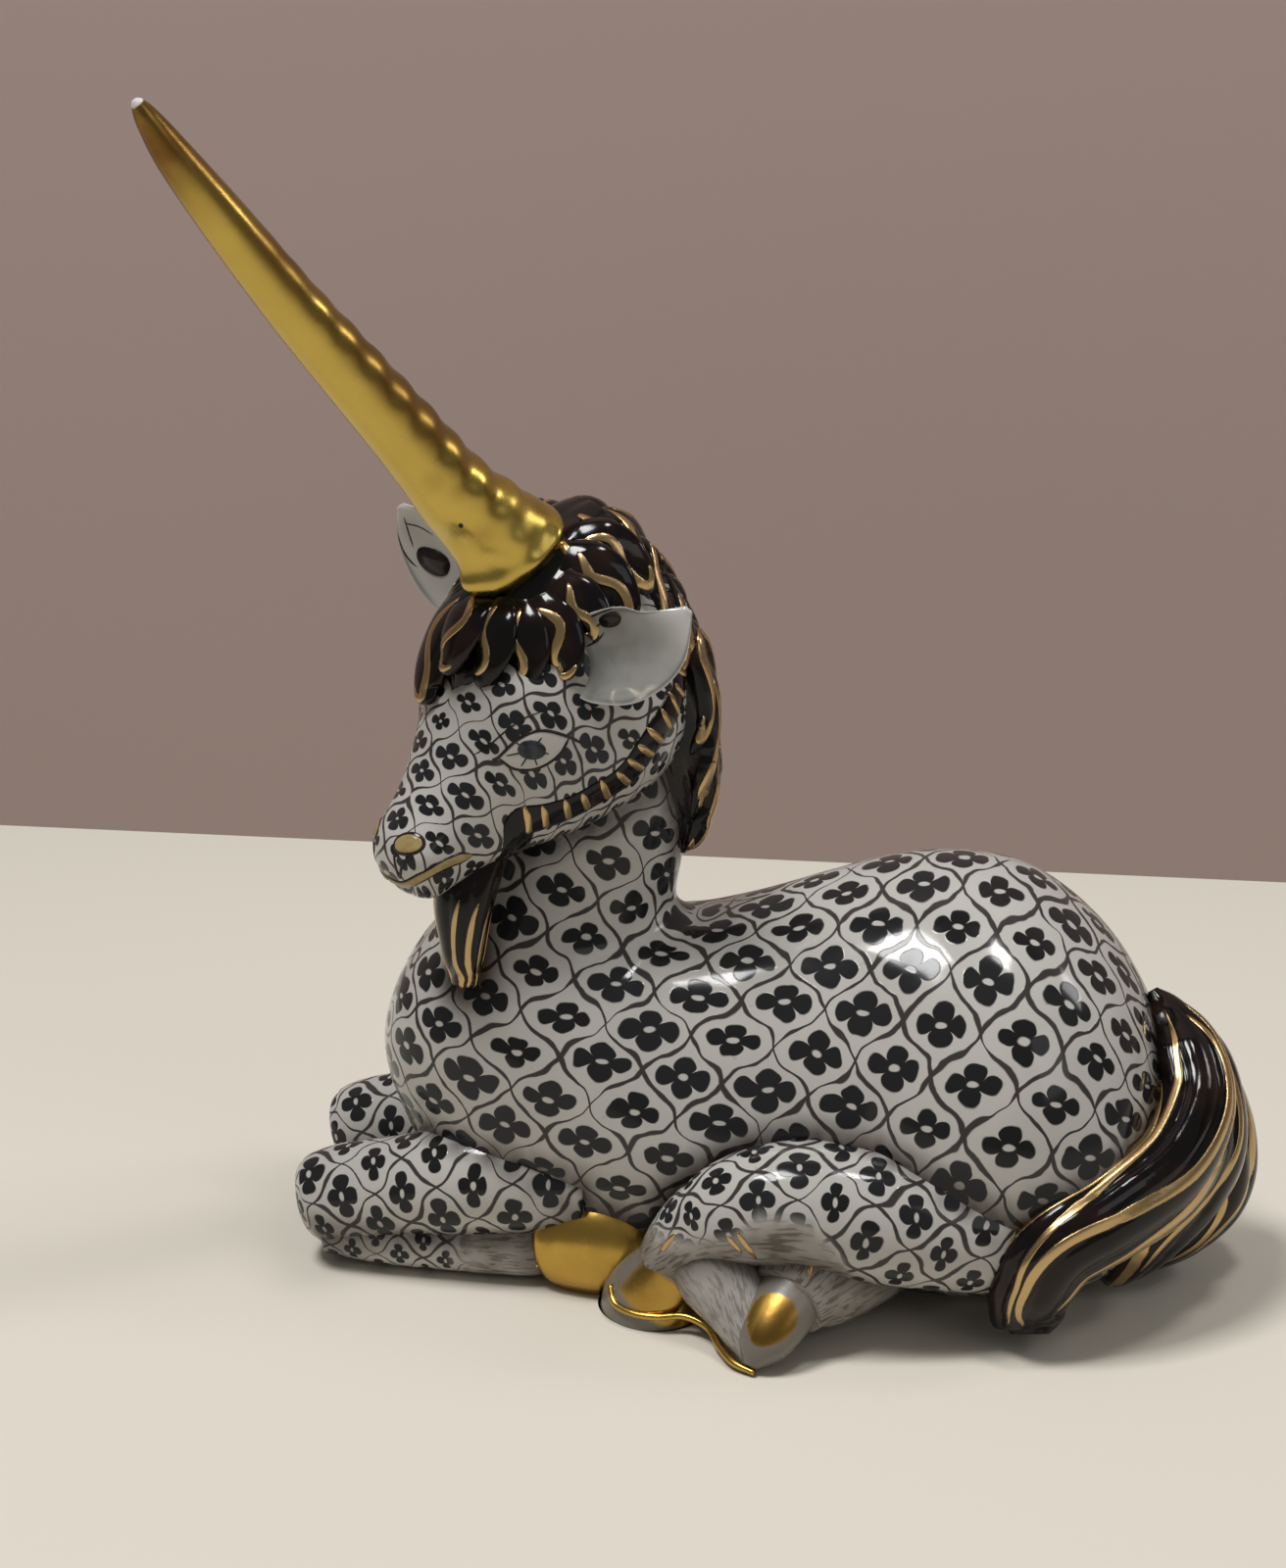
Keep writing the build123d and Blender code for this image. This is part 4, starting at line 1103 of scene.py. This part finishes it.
# Tail: three tufts that sweep round the rump
tail = {
    "hub": (22, 0, 20), "count": 170, "columns": 96, "locks": 8, "drift": 1.2,
    # x, y, z, half width, half depth of each tuft
    "long": [
        (43.3, 0.3, 33.6, 0.6, 0.6), (44.8, -0.6, 31.4, 2.5, 2.4), (47.0, -3, 27.5, 5.2, 4.4),
        (48.0, -8, 22.6, 5.9, 4.8), (45.0, -15.2, 18.2, 6.0, 4.5), (39.0, -21.2, 15.6, 5.5, 4.2),
        (33.5, -24.4, 13.0, 5.2, 3.9), (31.1, -24.8, 9.2, 4.9, 3.8), (30.3, -23.8, 5.8, 4.4, 3.4),
        (30.6, -23.5, 3.4, 3.9, 2.6), (30.7, -24.2, 2.0, 2.2, 1.3),
    ],
    "middle": [
        (43.7, 0, 32.8, 0.6, 0.6), (45.5, -1, 30.2, 2.8, 2.6), (48.6, -3, 25.5, 5.2, 4.2),
        (49.8, -6.5, 19.0, 6.2, 4.6), (47.6, -9.4, 14.2, 5.8, 4.6), (43.9, -11.4, 9.8, 4.8, 4.2),
        (41.4, -11.6, 6.0, 3.5, 3.2), (40.1, -10.8, 3.4, 2.1, 2.0), (39.6, -9.8, 1.9, 0.6, 0.6),
    ],
    "short": [
        (43.6, 1.5, 32.8, 0.6, 0.6), (45.3, 1.5, 29.8, 2.8, 2.6), (48, 1.5, 24, 5.1, 4.5),
        (50.3, 0.5, 16.5, 6.0, 5.5), (50.2, -0.6, 10.4, 6.0, 5.5), (47.3, -3.0, 6.0, 4.7, 4.2),
        (43.5, -5.4, 2.9, 2.6, 2.2), (41.7, -6.6, 1.8, 0.7, 0.6),
    ],
    # gold strokes on each tuft, how far they sway in turns, and their half width in mm
    "strands": {"long": 8, "middle": 7, "short": 8}, "sway": 0.05, "strokeWidth": 0.7,
}


def tailSwell(along, turn):  # locks that wind steadily round the tuft, from nothing at the root
    return 1 + locks(along, turn, tail["locks"], tail["drift"] * along, 0.11) * smoothStep(0, 0.15, along)


tufts = {}
for key in tail["strands"]:
    tuft = limbGrid(tail[key], tail["count"], tail["columns"], hub=tail["hub"], swell=tailSwell)
    tufts[key] = onGround(tuft)
makePiece("tailTufts", list(tufts.values()), hairMaterial, ["tail"])
for key, count in tail["strands"].items():
    paths = []
    for k in range(count):
        begin, finish = wobbleSource.uniform(0.1, 0.32), wobbleSource.uniform(0.72, 0.95)
        s = np.linspace(begin, finish, 7)
        drift = -tail["drift"] / tail["locks"] * s + tail["sway"] * np.sin(turnFull * (1.3 * s + 0.37 * k))
        paths.append(np.stack([s, k / count + 0.03 + drift + 1], -1))
    for path in paths:
        width = tail["strokeWidth"] * wobbleSource.uniform(0.75, 1.3)
        hairStrokes += strokeGrids(tufts[key], [path], width, hair["strokeHeight"], samples=60, blunt=0.4)
makePiece("hairStrokes", hairStrokes, strokeMaterial)
print("hair made")

# Legs and hooves
legs = {
    "left": {"side": -1, "reach": 34.4, "spread": 12.5, "lift": 12.0},
    "right": {"side": 1, "reach": 35.8, "spread": 8.8, "lift": 11.0},
    "start": -20.0, "fetlock": 0.203, "hoofSpread": 15.6, "hoofLength": 14.0, "plainGain": 1.6,
    # rows and columns of each grid
    "rings": {
        "forearm": (90, 64), "cannon": (80, 48), "hoof": (70, 64), "flank": (130, 72),
        "flankHoof": (70, 72), "under": (90, 64), "underHoof": (60, 56), "web": (60, 40), "rim": (90, 20),
    },
    # a foreleg: shares of its reach and spread, height as a share of its lift or in mm, half sizes in mm
    "forearm": [
        (0.0, 1.04, 1.0, 6.0, 6.2), (0.349, 1.08, 0.96, 6.4, 6.6), (0.64, 1.04, 0.79, 6.0, 6.0),
        (0.843, 1.0, 0.66, 5.7, 5.9), (0.93, 0.98, 0.56, 5.0, 5.4), (0.975, 0.98, 0.51, 3.5, 3.9),
        (0.993, 0.98, 0.5, 0.5, 0.6),
    ],
    "cannon": [
        (0.89, 0.0, 4.8, 4.4, 4.2), (0.698, 0.1, 4.4, 4.9, 4.4), (0.465, 0.33, 4.1, 4.5, 4.1),
        (0.203, 0.62, 4.1, 3.9, 3.8), (0.13, 0.68, 4.2, 3.2, 3.2),
    ],
    "hoof": [
        (0.1, 0.68, 3.4, 2.4, 2.2), (0.17, 0.72, 3.8, 3.7, 4.2), (0.34, 0.84, 4.5, 4.4, 5.6),
        (0.62, 0.98, 5.2, 4.8, 6.4), (0.9, 1.06, 5.0, 4.3, 5.4), (1.06, 1.1, 4.7, 2.6, 3.0),
        (1.11, 1.1, 4.6, 0.5, 0.5),
    ],
    # x, y, z, half width, half depth of the hind legs
    "flank": [
        (33, -18, 11, 6.0, 6.0), (25, -20.6, 12.3, 6.8, 6.8), (15, -22.5, 14.2, 7.4, 7.4),
        (6, -23.2, 15.4, 7.2, 7.2), (-1, -23.6, 14.6, 6.2, 6.2), (-5.4, -23.2, 12.4, 4.9, 4.7),
        (-8.4, -22.5, 9.2, 4.1, 3.9), (-10.4, -21.7, 6.8, 3.0, 2.9),
    ],
    "flankHoof": [
        (-6.8, -22.9, 9.7, 2.8, 2.3), (-8.0, -22.3, 7.4, 3.7, 3.4), (-9.7, -21.1, 4.2, 5.0, 4.9),
        (-11.2, -20.1, 1.0, 5.7, 6.1), (-11.8, -19.5, -2.5, 5.9, 6.6),
    ],
    "web": [
        (-7.5, -22.6, 8.4, 3.4, 3.6), (-4.4, -24.2, 7.2, 4.2, 4.8), (-1.4, -26.8, 5.0, 3.8, 4.5),
        (0.6, -30.2, 2.8, 2.9, 3.0), (1.6, -33.0, 0.8, 1.2, 1.0),
    ],
    "rim": [
        (-16.1, -22.5, 3.6, 0.3, 0.3), (-15.3, -24.0, 2.2, 0.42, 0.4), (-13.0, -25.5, 1.9, 0.42, 0.4),
        (-10.2, -26.1, 2.0, 0.42, 0.4), (-7.2, -25.9, 2.2, 0.42, 0.4), (-4.4, -27.2, 1.7, 0.45, 0.45),
        (-2.8, -30.2, 1.2, 0.45, 0.45), (-1.0, -32.8, 0.8, 0.42, 0.42), (1.4, -34.2, 0.5, 0.3, 0.3),
    ],
    "under": [
        (16, -6, 6, 5.5, 5.5), (13, -14, 6.5, 6.0, 6.0), (9, -20.5, 7.2, 6.5, 6.3), (6, -25, 7, 6.0, 5.6),
        (4.2, -28, 6, 4.6, 4.2),
    ],
    "underHoof": [
        (4.8, -27.2, 6.8, 4.0, 3.2), (3.2, -29.8, 4.8, 3.9, 3.2), (1.8, -32.0, 2.6, 3.0, 2.6),
        (0.8, -33.4, 0.8, 0.8, 0.8),
    ],
    # turns of the band of gold on the near hind hoof and of the drop on the other, with shares along them
    "whiteBand": {"middle": 0.665, "narrow": 0.17, "wide": 0.155, "first": 0.26, "last": 0.62},
    "goldDrop": {"middle": 0.94, "centre": 0.46, "reach": 0.28, "wide": 0.13},
    # the height in mm under which the flank leg's hair is painted, by the place along it
    "featherShares": [0.3, 0.36, 0.42, 0.52, 0.58, 0.66, 0.8],
    "featherTops": [5.0, 13.0, 17.0, 17.4, 14.6, 13.2, 12.6],
    # s and t of the gold dashes
    "flankDashes": [
        [(0.832, 0.785), (0.745, 0.808)], [(0.597, 0.748), (0.578, 0.682)],
        [(0.572, 0.758), (0.545, 0.655)],
    ],
    "underDashes": [[(0.8, 0.93), (0.92, 0.9)], [(0.8, 0.05), (0.92, 0.03)]],
}


# A foreleg's rows in mm. The forearm's shares are of its reach, spread and lift, the cannon's of its
# reach and of the splay from knee to hoof, and the hoof's of its own length from the fetlock.
def foreRows(key, leg):
    side, reach, spread = leg["side"], leg["reach"], leg["spread"]
    if key == "forearm":
        return [(legs["start"] - far * reach, side * out * spread, up * leg["lift"], w, d)
                for far, out, up, w, d in legs[key]]
    begin, length = legs["start"], -reach
    if key == "hoof":
        begin, length = begin - legs["fetlock"] * reach, legs["hoofLength"]
    splay = legs["hoofSpread"] - spread
    return [(begin + far * length, side * (spread + out * splay), up, w, d)
            for far, out, up, w, d in legs[key]]


def legGrid(key, rows):
    return onGround(limbGrid(rows, *legs["rings"][key], facing=upright))


legSkins = {}
for name in ("left", "right"):
    for key in ("forearm", "cannon", "hoof"):
        legSkins[key + name] = legGrid(key, foreRows(key, legs[name]))
for key in ("flank", "flankHoof", "under", "underHoof", "web", "rim"):
    legSkins[key] = legGrid(key, legs[key])


# One piece of limb from several grids. Each has its mask in `feathers`, a function of the place along
# the limb and the height, which is 1 where the hair over the hoof is painted.
def legPiece(name, parts, node, others, feathers, cellsRound=5):
    grids = [legSkins[part] for part in parts]
    # glaze pooled with painted shade where the body and the limb's other grids come near
    poolShades = [closeness(grid, others + [thinned(other) for other in grids if other is not grid])
             for grid in grids]
    masks = [mask(alongOf(grid), grid[..., 2]) for grid, mask in zip(grids, feathers)]
    feather = [np.broadcast_to(mask, grid.shape[:2]) for grid, mask in zip(grids, masks)]
    plain = [np.clip(values * legs["plainGain"], 0, 1) for values in feather]
    cells = [tubeCells(grid, cellsRound, 0.3 * k) for k, grid in enumerate(grids)]
    makePiece(name, grids, legMaterial, [node], uvs=cells,
              marks={"poolAndShade": poolShades, "feather": feather, "plain": plain})


def turnsAway(grid, middle):  # how far round each column lies from the turn `middle`
    return np.abs(np.mod(ringTurns(grid.shape[1])[None] - middle + 0.5, 1) - 0.5)


# 1 where a hoof is left white: outside a band of turns that widens from `narrow` to `wide`
def whiteOf(grid, middle, narrow, wide, first, last):
    s = alongOf(grid)
    half = narrow + (wide - narrow) * smoothStep(first, last, s)
    edge = smoothStep(-0.025, 0.025, turnsAway(grid, middle) - half)
    inside = smoothStep(first - 0.03, first + 0.03, s) * (1 - smoothStep(last - 0.03, last + 0.03, s))
    return np.maximum(edge, 1 - inside)


# The same round one drop of gold, an oval in turns and shares of the length that narrows to the toe
def dropOf(grid, middle, centre, reach, wide):
    s = alongOf(grid)
    away = turnsAway(grid, middle) / (wide * (1.3 - 0.65 * s))
    return smoothStep(0.92, 1.0, np.hypot((s - centre) / reach, away))


# A gilded hoof. Round each ring the gold browns from turn 0.2 to 0.8, a painted shade on that side of the
# hoof.
def hoofPiece(name, parts, node, white, wornAndShaded):
    grids = [legSkins[part] for part in parts]
    rings = [wornAndShaded * smoothStep(0.2, 0.8, np.linspace(0, 1, grid.shape[1])) for grid in grids]
    wear = [np.broadcast_to(ring, grid.shape[:2]) for ring, grid in zip(rings, grids)]
    makePiece(name, grids, hoofMaterial, [node], marks={"bare": white, "wear": wear})


def noMark(grid):  # a mark that is 0 all over
    return np.zeros(grid.shape[:2])


# Where the hair over the hooves is painted, from the place s along the limb and the height z
def noFeather(s, z):
    return 0 * s


def cannonFeather(s, z):
    return smoothStep(0.5, 0.66, s)


def flankFeather(s, z):
    top = np.interp(s, legs["featherShares"], legs["featherTops"])
    return np.maximum(smoothStep(0.86, 0.95, s), smoothStep(0.8, -2.4, z - top))


def underFeather(s, z):
    return 0.75 + 0.25 * s


def webFeather(s, z):
    return 0.6 + 0 * s


coarseBody = thinned(coatSkin)
goldStrokes = []
for name in ("left", "right"):
    hoofSkin, cannonSkin = legSkins["hoof" + name], legSkins["cannon" + name]
    legPiece("foreleg" + name.capitalize(), ["forearm" + name, "cannon" + name], "foreleg_" + name,
             [coarseBody, thinned(hoofSkin)], [noFeather, cannonFeather])
    hoofPiece("foreHoof" + name.capitalize(), ["hoof" + name], "fore_hoof_" + name, [noMark(hoofSkin)], 0.5)
    paths = [[(0.88, turn), (0.97, turn + 0.02)] for turn in (0.1, 0.3, 0.7, 0.9)]
    goldStrokes += strokeGrids(cannonSkin, paths, halfWidth=0.32, height=0.09, samples=14)
flankSkin, underSkin = legSkins["flank"], legSkins["under"]
legPiece("hindLegLeft", ["flank"], "hind_leg_left", [coarseBody, thinned(underSkin)], [flankFeather], 6)
legPiece("hindLegRight", ["under", "web"], "hind_leg_right", [coarseBody, thinned(flankSkin)],
         [underFeather, webFeather], 6)
hoofPiece("hindHoofLeft", ["flankHoof", "rim"], "hind_hoof_left",
          [whiteOf(legSkins["flankHoof"], **legs["whiteBand"]), noMark(legSkins["rim"])], 0.4)
hoofPiece("hindHoofRight", ["underHoof"], "hind_hoof_right",
          [dropOf(legSkins["underHoof"], **legs["goldDrop"])], 0.4)
goldStrokes += strokeGrids(flankSkin, legs["flankDashes"], halfWidth=0.34, height=0.12, samples=14)
goldStrokes += strokeGrids(underSkin, legs["underDashes"], halfWidth=0.3, height=0.09, samples=14)
makePiece("fetlockStrokes", goldStrokes, strokeMaterial)
print("legs made")

# Coat and head: the skins with the painted trellis, with glaze pooled and painted shade where other pieces
# join them
limbPoints = [thinned(skin) for skin in legSkins.values()]
limbPoints += [thinned(skin, 4) for skin in (*tufts.values(), headSkin, maneSkin)] + [thinned(beardSkin)]
# painted shade: the coat darkens as pooled glaze where another piece comes near
coatPool = np.clip(closeness(coatSkin, limbPoints, coat["poolShadeReach"]) * coat["poolShadeGain"], 0, 1)
coatFoot = smoothStep(0.25, 0.05, coatSkin[..., 2])
makePiece("coatSkin", [coatSkin], coatMaterial, ["trunk", "neck"],
          uvs=[coatCells(coatSkin)], marks={"poolAndShade": [coatPool], "bare": [coatFoot]})
aroundHead = [coatSkin, capSkin, maneSkin, *earSkins.values(), beardSkin]
# painted shade: the head darkens as pooled glaze where the coat, hair, ears and beard come near
headPool = closeness(headSkin, [thinned(skin) for skin in aroundHead], head["poolShadeReach"]) * head["poolShadeGain"]
makePiece("headSkin", [headSkin], headMaterial, ["head"],
          uvs=[sheetCells(headSkin, head["cell"])], marks={"poolAndShade": [headPool]})
print("coat and head painted")

# Paint on the face
face = {
    # along, left, up of the near side's paint, in mm; the far side mirrors it
    "lidTop": [
        (22.2, 7.4, 0.2), (21.7, 7.9, 0.0), (19.2, 9.9, 0.6), (17.1, 11.5, -0.3), (15.9, 12.4, -3.3),
        (15.6, 12.5, -5.0),
    ],
    "lidLow": [
        (15.9, 12.4, -3.3), (17.8, 12.1, -3.7), (19.7, 11.5, -3.3), (21.1, 10.5, -2.5), (21.9, 9.2, -1.4),
        (21.7, 7.9, 0.0),
    ],
    "brow": [(23.0, 6.2, 2.0), (21.4, 7.0, 1.4), (19.0, 8.6, 1.6), (16.6, 10.2, 1.3), (14.6, 11.6, 0.2)],
    "iris": {"place": (19.4, 11.1, -0.9), "size": (1.6, 1.12), "tilt": -1.0},
    "rayShares": (0.3, 0.6, 0.92),
    "rays": [
        (21.5, 9.8, -1.8), (20.4, 11.1, -2.9), (18.5, 11.9, -2.9), (21.4, 8.3, -0.1), (17.4, 11.7, -0.8),
        (19.6, 9.3, 0.7),
    ],
    "nostril": {"place": (34.5, 4.0, 1.2), "size": (1.8, 1.05), "tilt": -0.97},
    "lip": [(36.1, 2.7, 1.0), (37.2, 3.0, 0.2), (38.1, 3.1, -1.2)],
    "lipBack": [(35.1, 5.3, 0.7), (36.8, 4.0, 0.2), (38.1, 3.1, -1.2)],
    "mouth": [
        (38.7, 0.0, -2.3), (38.4, 2.4, -2.4), (37.1, 6.0, -1.9), (35.3, 7.2, -2.6), (33.6, 7.6, -3.8),
        (32.1, 8.0, -5.3),
    ],
    "mouthWidth": 0.62, "lineWidth": 0.19,
    "strap": [
        (29.4, 0.0, -11.6), (28.8, 4.4, -10.2), (27.2, 7.8, -7.8), (26.0, 9.4, -7.0), (24.4, 9.9, -8.3),
        (21.7, 10.5, -9.9), (19.1, 11.5, -11.1), (16.3, 12.5, -12.1), (13.9, 13.4, -12.2),
        (11.6, 14.1, -12.0), (8.8, 14.1, -12.0), (6.0, 13.2, -12.6), (3.7, 12.2, -13.0),
        (1.2, 11.3, -12.2), (-1.6, 9.9, -10.8), (-3.8, 8.4, -9.4), (-5.4, 6.8, -8.4),
    ],
    "strapWidth": 1.85, "strapHeight": 0.2, "dashes": 13, "dashFrom": 0.605, "dashTo": 0.9,
    "dashReach": 1.85, "dashWidth": 0.5,
}


def bothSides(points):  # a path from the far side over the middle to the near side
    return np.concatenate([np.array(points)[:0:-1] * (1, -1, 1), points])


def onFace(points):  # s, t on the head for points in the head's frame
    return placeOn(headSkin, fromHead(points))


def headStrokes(paths, halfWidth, height, **shape):
    return strokeGrids(headSkin, paths, halfWidth, height, **shape)


def headSpot(key, hand, height, grow=0.0):  # an oval of the face, larger all round by `grow`
    values = face[key]
    s, t = onFace([np.array(values["place"]) * (1, hand, 1)])[0]
    outline = ovalOutline(values["size"][0] + grow, values["size"][1] + grow, values["tilt"]) * (1, hand)
    return spotGrid(headSkin, (s, t), drawnAt(headSkin, s, t, outline), height)


inkGrids, whiteGrids, irisGrids, goldGrids, lipGrids = [], [], [], [], []
for hand in (1, -1):
    mirror = (1, hand, 1)
    rim = onFace(np.array(face["lidTop"][1:5] + face["lidLow"][1:]) * mirror)
    rim = evenly(rim, 41)[:-1]
    whiteGrids.append(spotGrid(headSkin, rim.mean(0), rim, 0.05))
    lines = [onFace(np.array(face[key]) * mirror) for key in ("lidTop", "lidLow", "lip", "lipBack")]
    inkGrids += headStrokes(lines, face["lineWidth"], 0.12, samples=40, blunt=0.12)
    inkGrids += headStrokes([onFace(np.array(face["brow"]) * mirror)], 0.1, 0.08, samples=40, blunt=0.3)
    pupil = np.array(face["iris"]["place"]) * mirror
    rays = [onFace([pupil + (np.array(ray) * mirror - pupil) * share for share in face["rayShares"]])
            for ray in face["rays"]]
    inkGrids += headStrokes(rays, 0.1, 0.1, samples=16, blunt=0.2)
    irisGrids.append(headSpot("iris", hand, 0.14))
    inkGrids.append(headSpot("nostril", hand, 0.07, grow=0.32))
    lipGrids.append(headSpot("nostril", hand, 0.14))
mouthPath, strapPath = onFace(bothSides(face["mouth"])), onFace(bothSides(face["strap"]))
inkGrids += headStrokes([mouthPath], face["mouthWidth"] + 0.2, 0.08, samples=80, blunt=0.06)
lipGrids += headStrokes([mouthPath], face["mouthWidth"], 0.16, samples=80, blunt=0.06)
strapGrids = headStrokes([strapPath], face["strapWidth"], face["strapHeight"],
                         samples=160, blunt=0.02, columns=14)

# Gold dashes across the strap, in pairs either side of its middle
fine = evenly(strapPath, 400)
alongS, alongT, normal = gridSlopes(headSkin, fine[:, 0], fine[:, 1])
acrossBand = unit(np.cross(normal, np.gradient(readGrid(headSkin, fine[:, 0], fine[:, 1]), axis=0)))
dashPaths = []
for share in np.linspace(face["dashFrom"], face["dashTo"], face["dashes"]):
    for place in (share, 1 - share):
        k = int(place * (len(fine) - 1))
        across = acrossBand[k] * face["dashReach"] * wobbleSource.uniform(0.85, 1.05)
        shift = np.stack(gridShift(alongS[k], alongT[k], across), -1)
        dashPaths.append([fine[k] - shift, fine[k] + (0.001, 0), fine[k] + shift])
goldGrids += headStrokes(dashPaths, face["dashWidth"], face["strapHeight"] + 0.13, samples=16, blunt=0.3)
speckOutline = drawnAt(hornSkin, *horn["speck"], ovalOutline(0.36, 0.27, 0.6))
inkGrids.append(spotGrid(hornSkin, horn["speck"], speckOutline, 0.04))
makePiece("faceInk", inkGrids, inkMaterial)
makePiece("eyeWhites", whiteGrids, earMaterial)
makePiece("irises", irisGrids, irisMaterial)
makePiece("chinStrap", strapGrids, hairMaterial)
makePiece("faceGold", goldGrids, strokeMaterial)
makePiece("mouthGold", lipGrids, lipMaterial)

earPaint = {
    "earLeft": {
        "spots": [(0.47, 0.385, 1.5, 0.85, 0.15)],
        "lines": [
            [(0.2, 0.34), (0.34, 0.37), (0.46, 0.4)], [(0.18, 0.28), (0.28, 0.3), (0.36, 0.33)],
            [(0.22, 0.42), (0.36, 0.44), (0.52, 0.46)],
        ],
    },
    "earRight": {
        "spots": [(0.56, 0.3, 2.3, 1.5, 0.5), (0.3, 0.3, 1.0, 0.6, 0)],
        "lines": [
            [(0.66, 0.22), (0.78, 0.25), (0.86, 0.3)], [(0.7, 0.34), (0.8, 0.31), (0.9, 0.27)],
            [(0.6, 0.38), (0.72, 0.42), (0.84, 0.43)],
        ],
    },
}
inkGrids = []
for name, values in earPaint.items():
    skin = earSkins[name]
    for s, t, halfLength, halfHeight, tilt in values["spots"]:
        outline = drawnAt(skin, s, t, ovalOutline(halfLength, halfHeight, tilt, point=0.8))
        inkGrids.append(spotGrid(skin, (s, t), outline, 0.07))
    inkGrids += strokeGrids(skin, values["lines"], halfWidth=0.11, height=0.08, samples=24, blunt=0.3)
makePiece("earInk", inkGrids, inkMaterial)
print("face painted")

# Floor, backdrop, light and camera, in metres
stage = {
    "floor": colour(0.715, 0.665, 0.575), "wall": colour(0.36, 0.274, 0.248),
    "size": 3.0, "wallPlace": 0.14, "sink": 0.00003,
}


def stagePlane(name, corners):
    mesh = bpy.data.meshes.new(name)
    mesh.from_pydata(corners, [], [(0, 1, 2, 3)])
    plane = bpy.data.objects.new(name, mesh)
    bpy.context.scene.collection.objects.link(plane)
    material, tree, shader = newMaterial(name)[:3]
    shader.inputs["Base Color"].default_value = stage[name]
    shader.inputs["Roughness"].default_value = 0.85
    mesh.materials.append(material)
    return plane, tree


size, back, low = stage["size"], stage["wallPlace"], -stage["sink"]
stagePlane("floor", [(-size, -size, low), (size, -size, low), (size, size, low), (-size, size, low)])
corners = [(-size, back, low), (size, back, low), (size, back, size), (-size, back, size)]
wall, wallTree = stagePlane("wall", corners)
wall.visible_shadow = wall.visible_diffuse = False
# seen from behind, the wall is clear
clear, choice = wallTree.nodes.new("ShaderNodeBsdfTransparent"), wallTree.nodes.new("ShaderNodeMixShader")
wallTree.links.new(wallTree.nodes.new("ShaderNodeNewGeometry").outputs["Backfacing"], choice.inputs[0])
wallTree.links.new(wallTree.nodes["Principled BSDF"].outputs[0], choice.inputs[1])
wallTree.links.new(clear.outputs[0], choice.inputs[2])
wallTree.links.new(choice.outputs[0], wallTree.nodes["Material Output"].inputs[0])

world = bpy.data.worlds.new("room")
bpy.context.scene.world = world
world.use_nodes = True
background = world.node_tree.nodes["Background"]
background.inputs["Color"].default_value = colour(0.86, 0.84, 0.82)
background.inputs["Strength"].default_value = 0.2


def aimed(name, data, place, target):  # a lamp or a camera at a place, looking at the target
    holder = bpy.data.objects.new(name, data)
    holder.location = place
    holder.rotation_euler = (Vector(target) - Vector(place)).to_track_quat("-Z", "Y").to_euler()
    bpy.context.scene.collection.objects.link(holder)
    return holder


lamps = {
    "keyLamp": {"place": (-0.24, -0.16, 0.75), "energy": 4.0, "size": 0.2},
    "fillLamp": {"place": (0.5, -0.4, 0.4), "energy": 0.3, "size": 0.3},
    "topLamp": {"place": (0.12, -0.05, 0.6), "energy": 0.7, "size": 0.08},
    "backLamp": {"place": (0.4, 0.11, 0.32), "energy": 0.28, "size": 0.1},
}
for name, values in lamps.items():
    lamp = bpy.data.lights.new(name, "AREA")
    lamp.energy, lamp.size = values["energy"], values["size"]
    aimed(name, lamp, values["place"], (0, 0, 0.03))

view = {"place": (0.0244, -0.2841, 0.1435), "target": (-0.0155, 0, 0.0558), "lens": 60.0, "sensor": 36.0}
camera = aimed("camera", bpy.data.cameras.new("camera"), view["place"], view["target"])
camera.data.lens, camera.data.sensor_width = view["lens"], view["sensor"]
camera.data.clip_start = 0.01
bpy.context.scene.camera = camera
bpy.context.scene.view_settings.view_transform = "Standard"

print("scene ready")
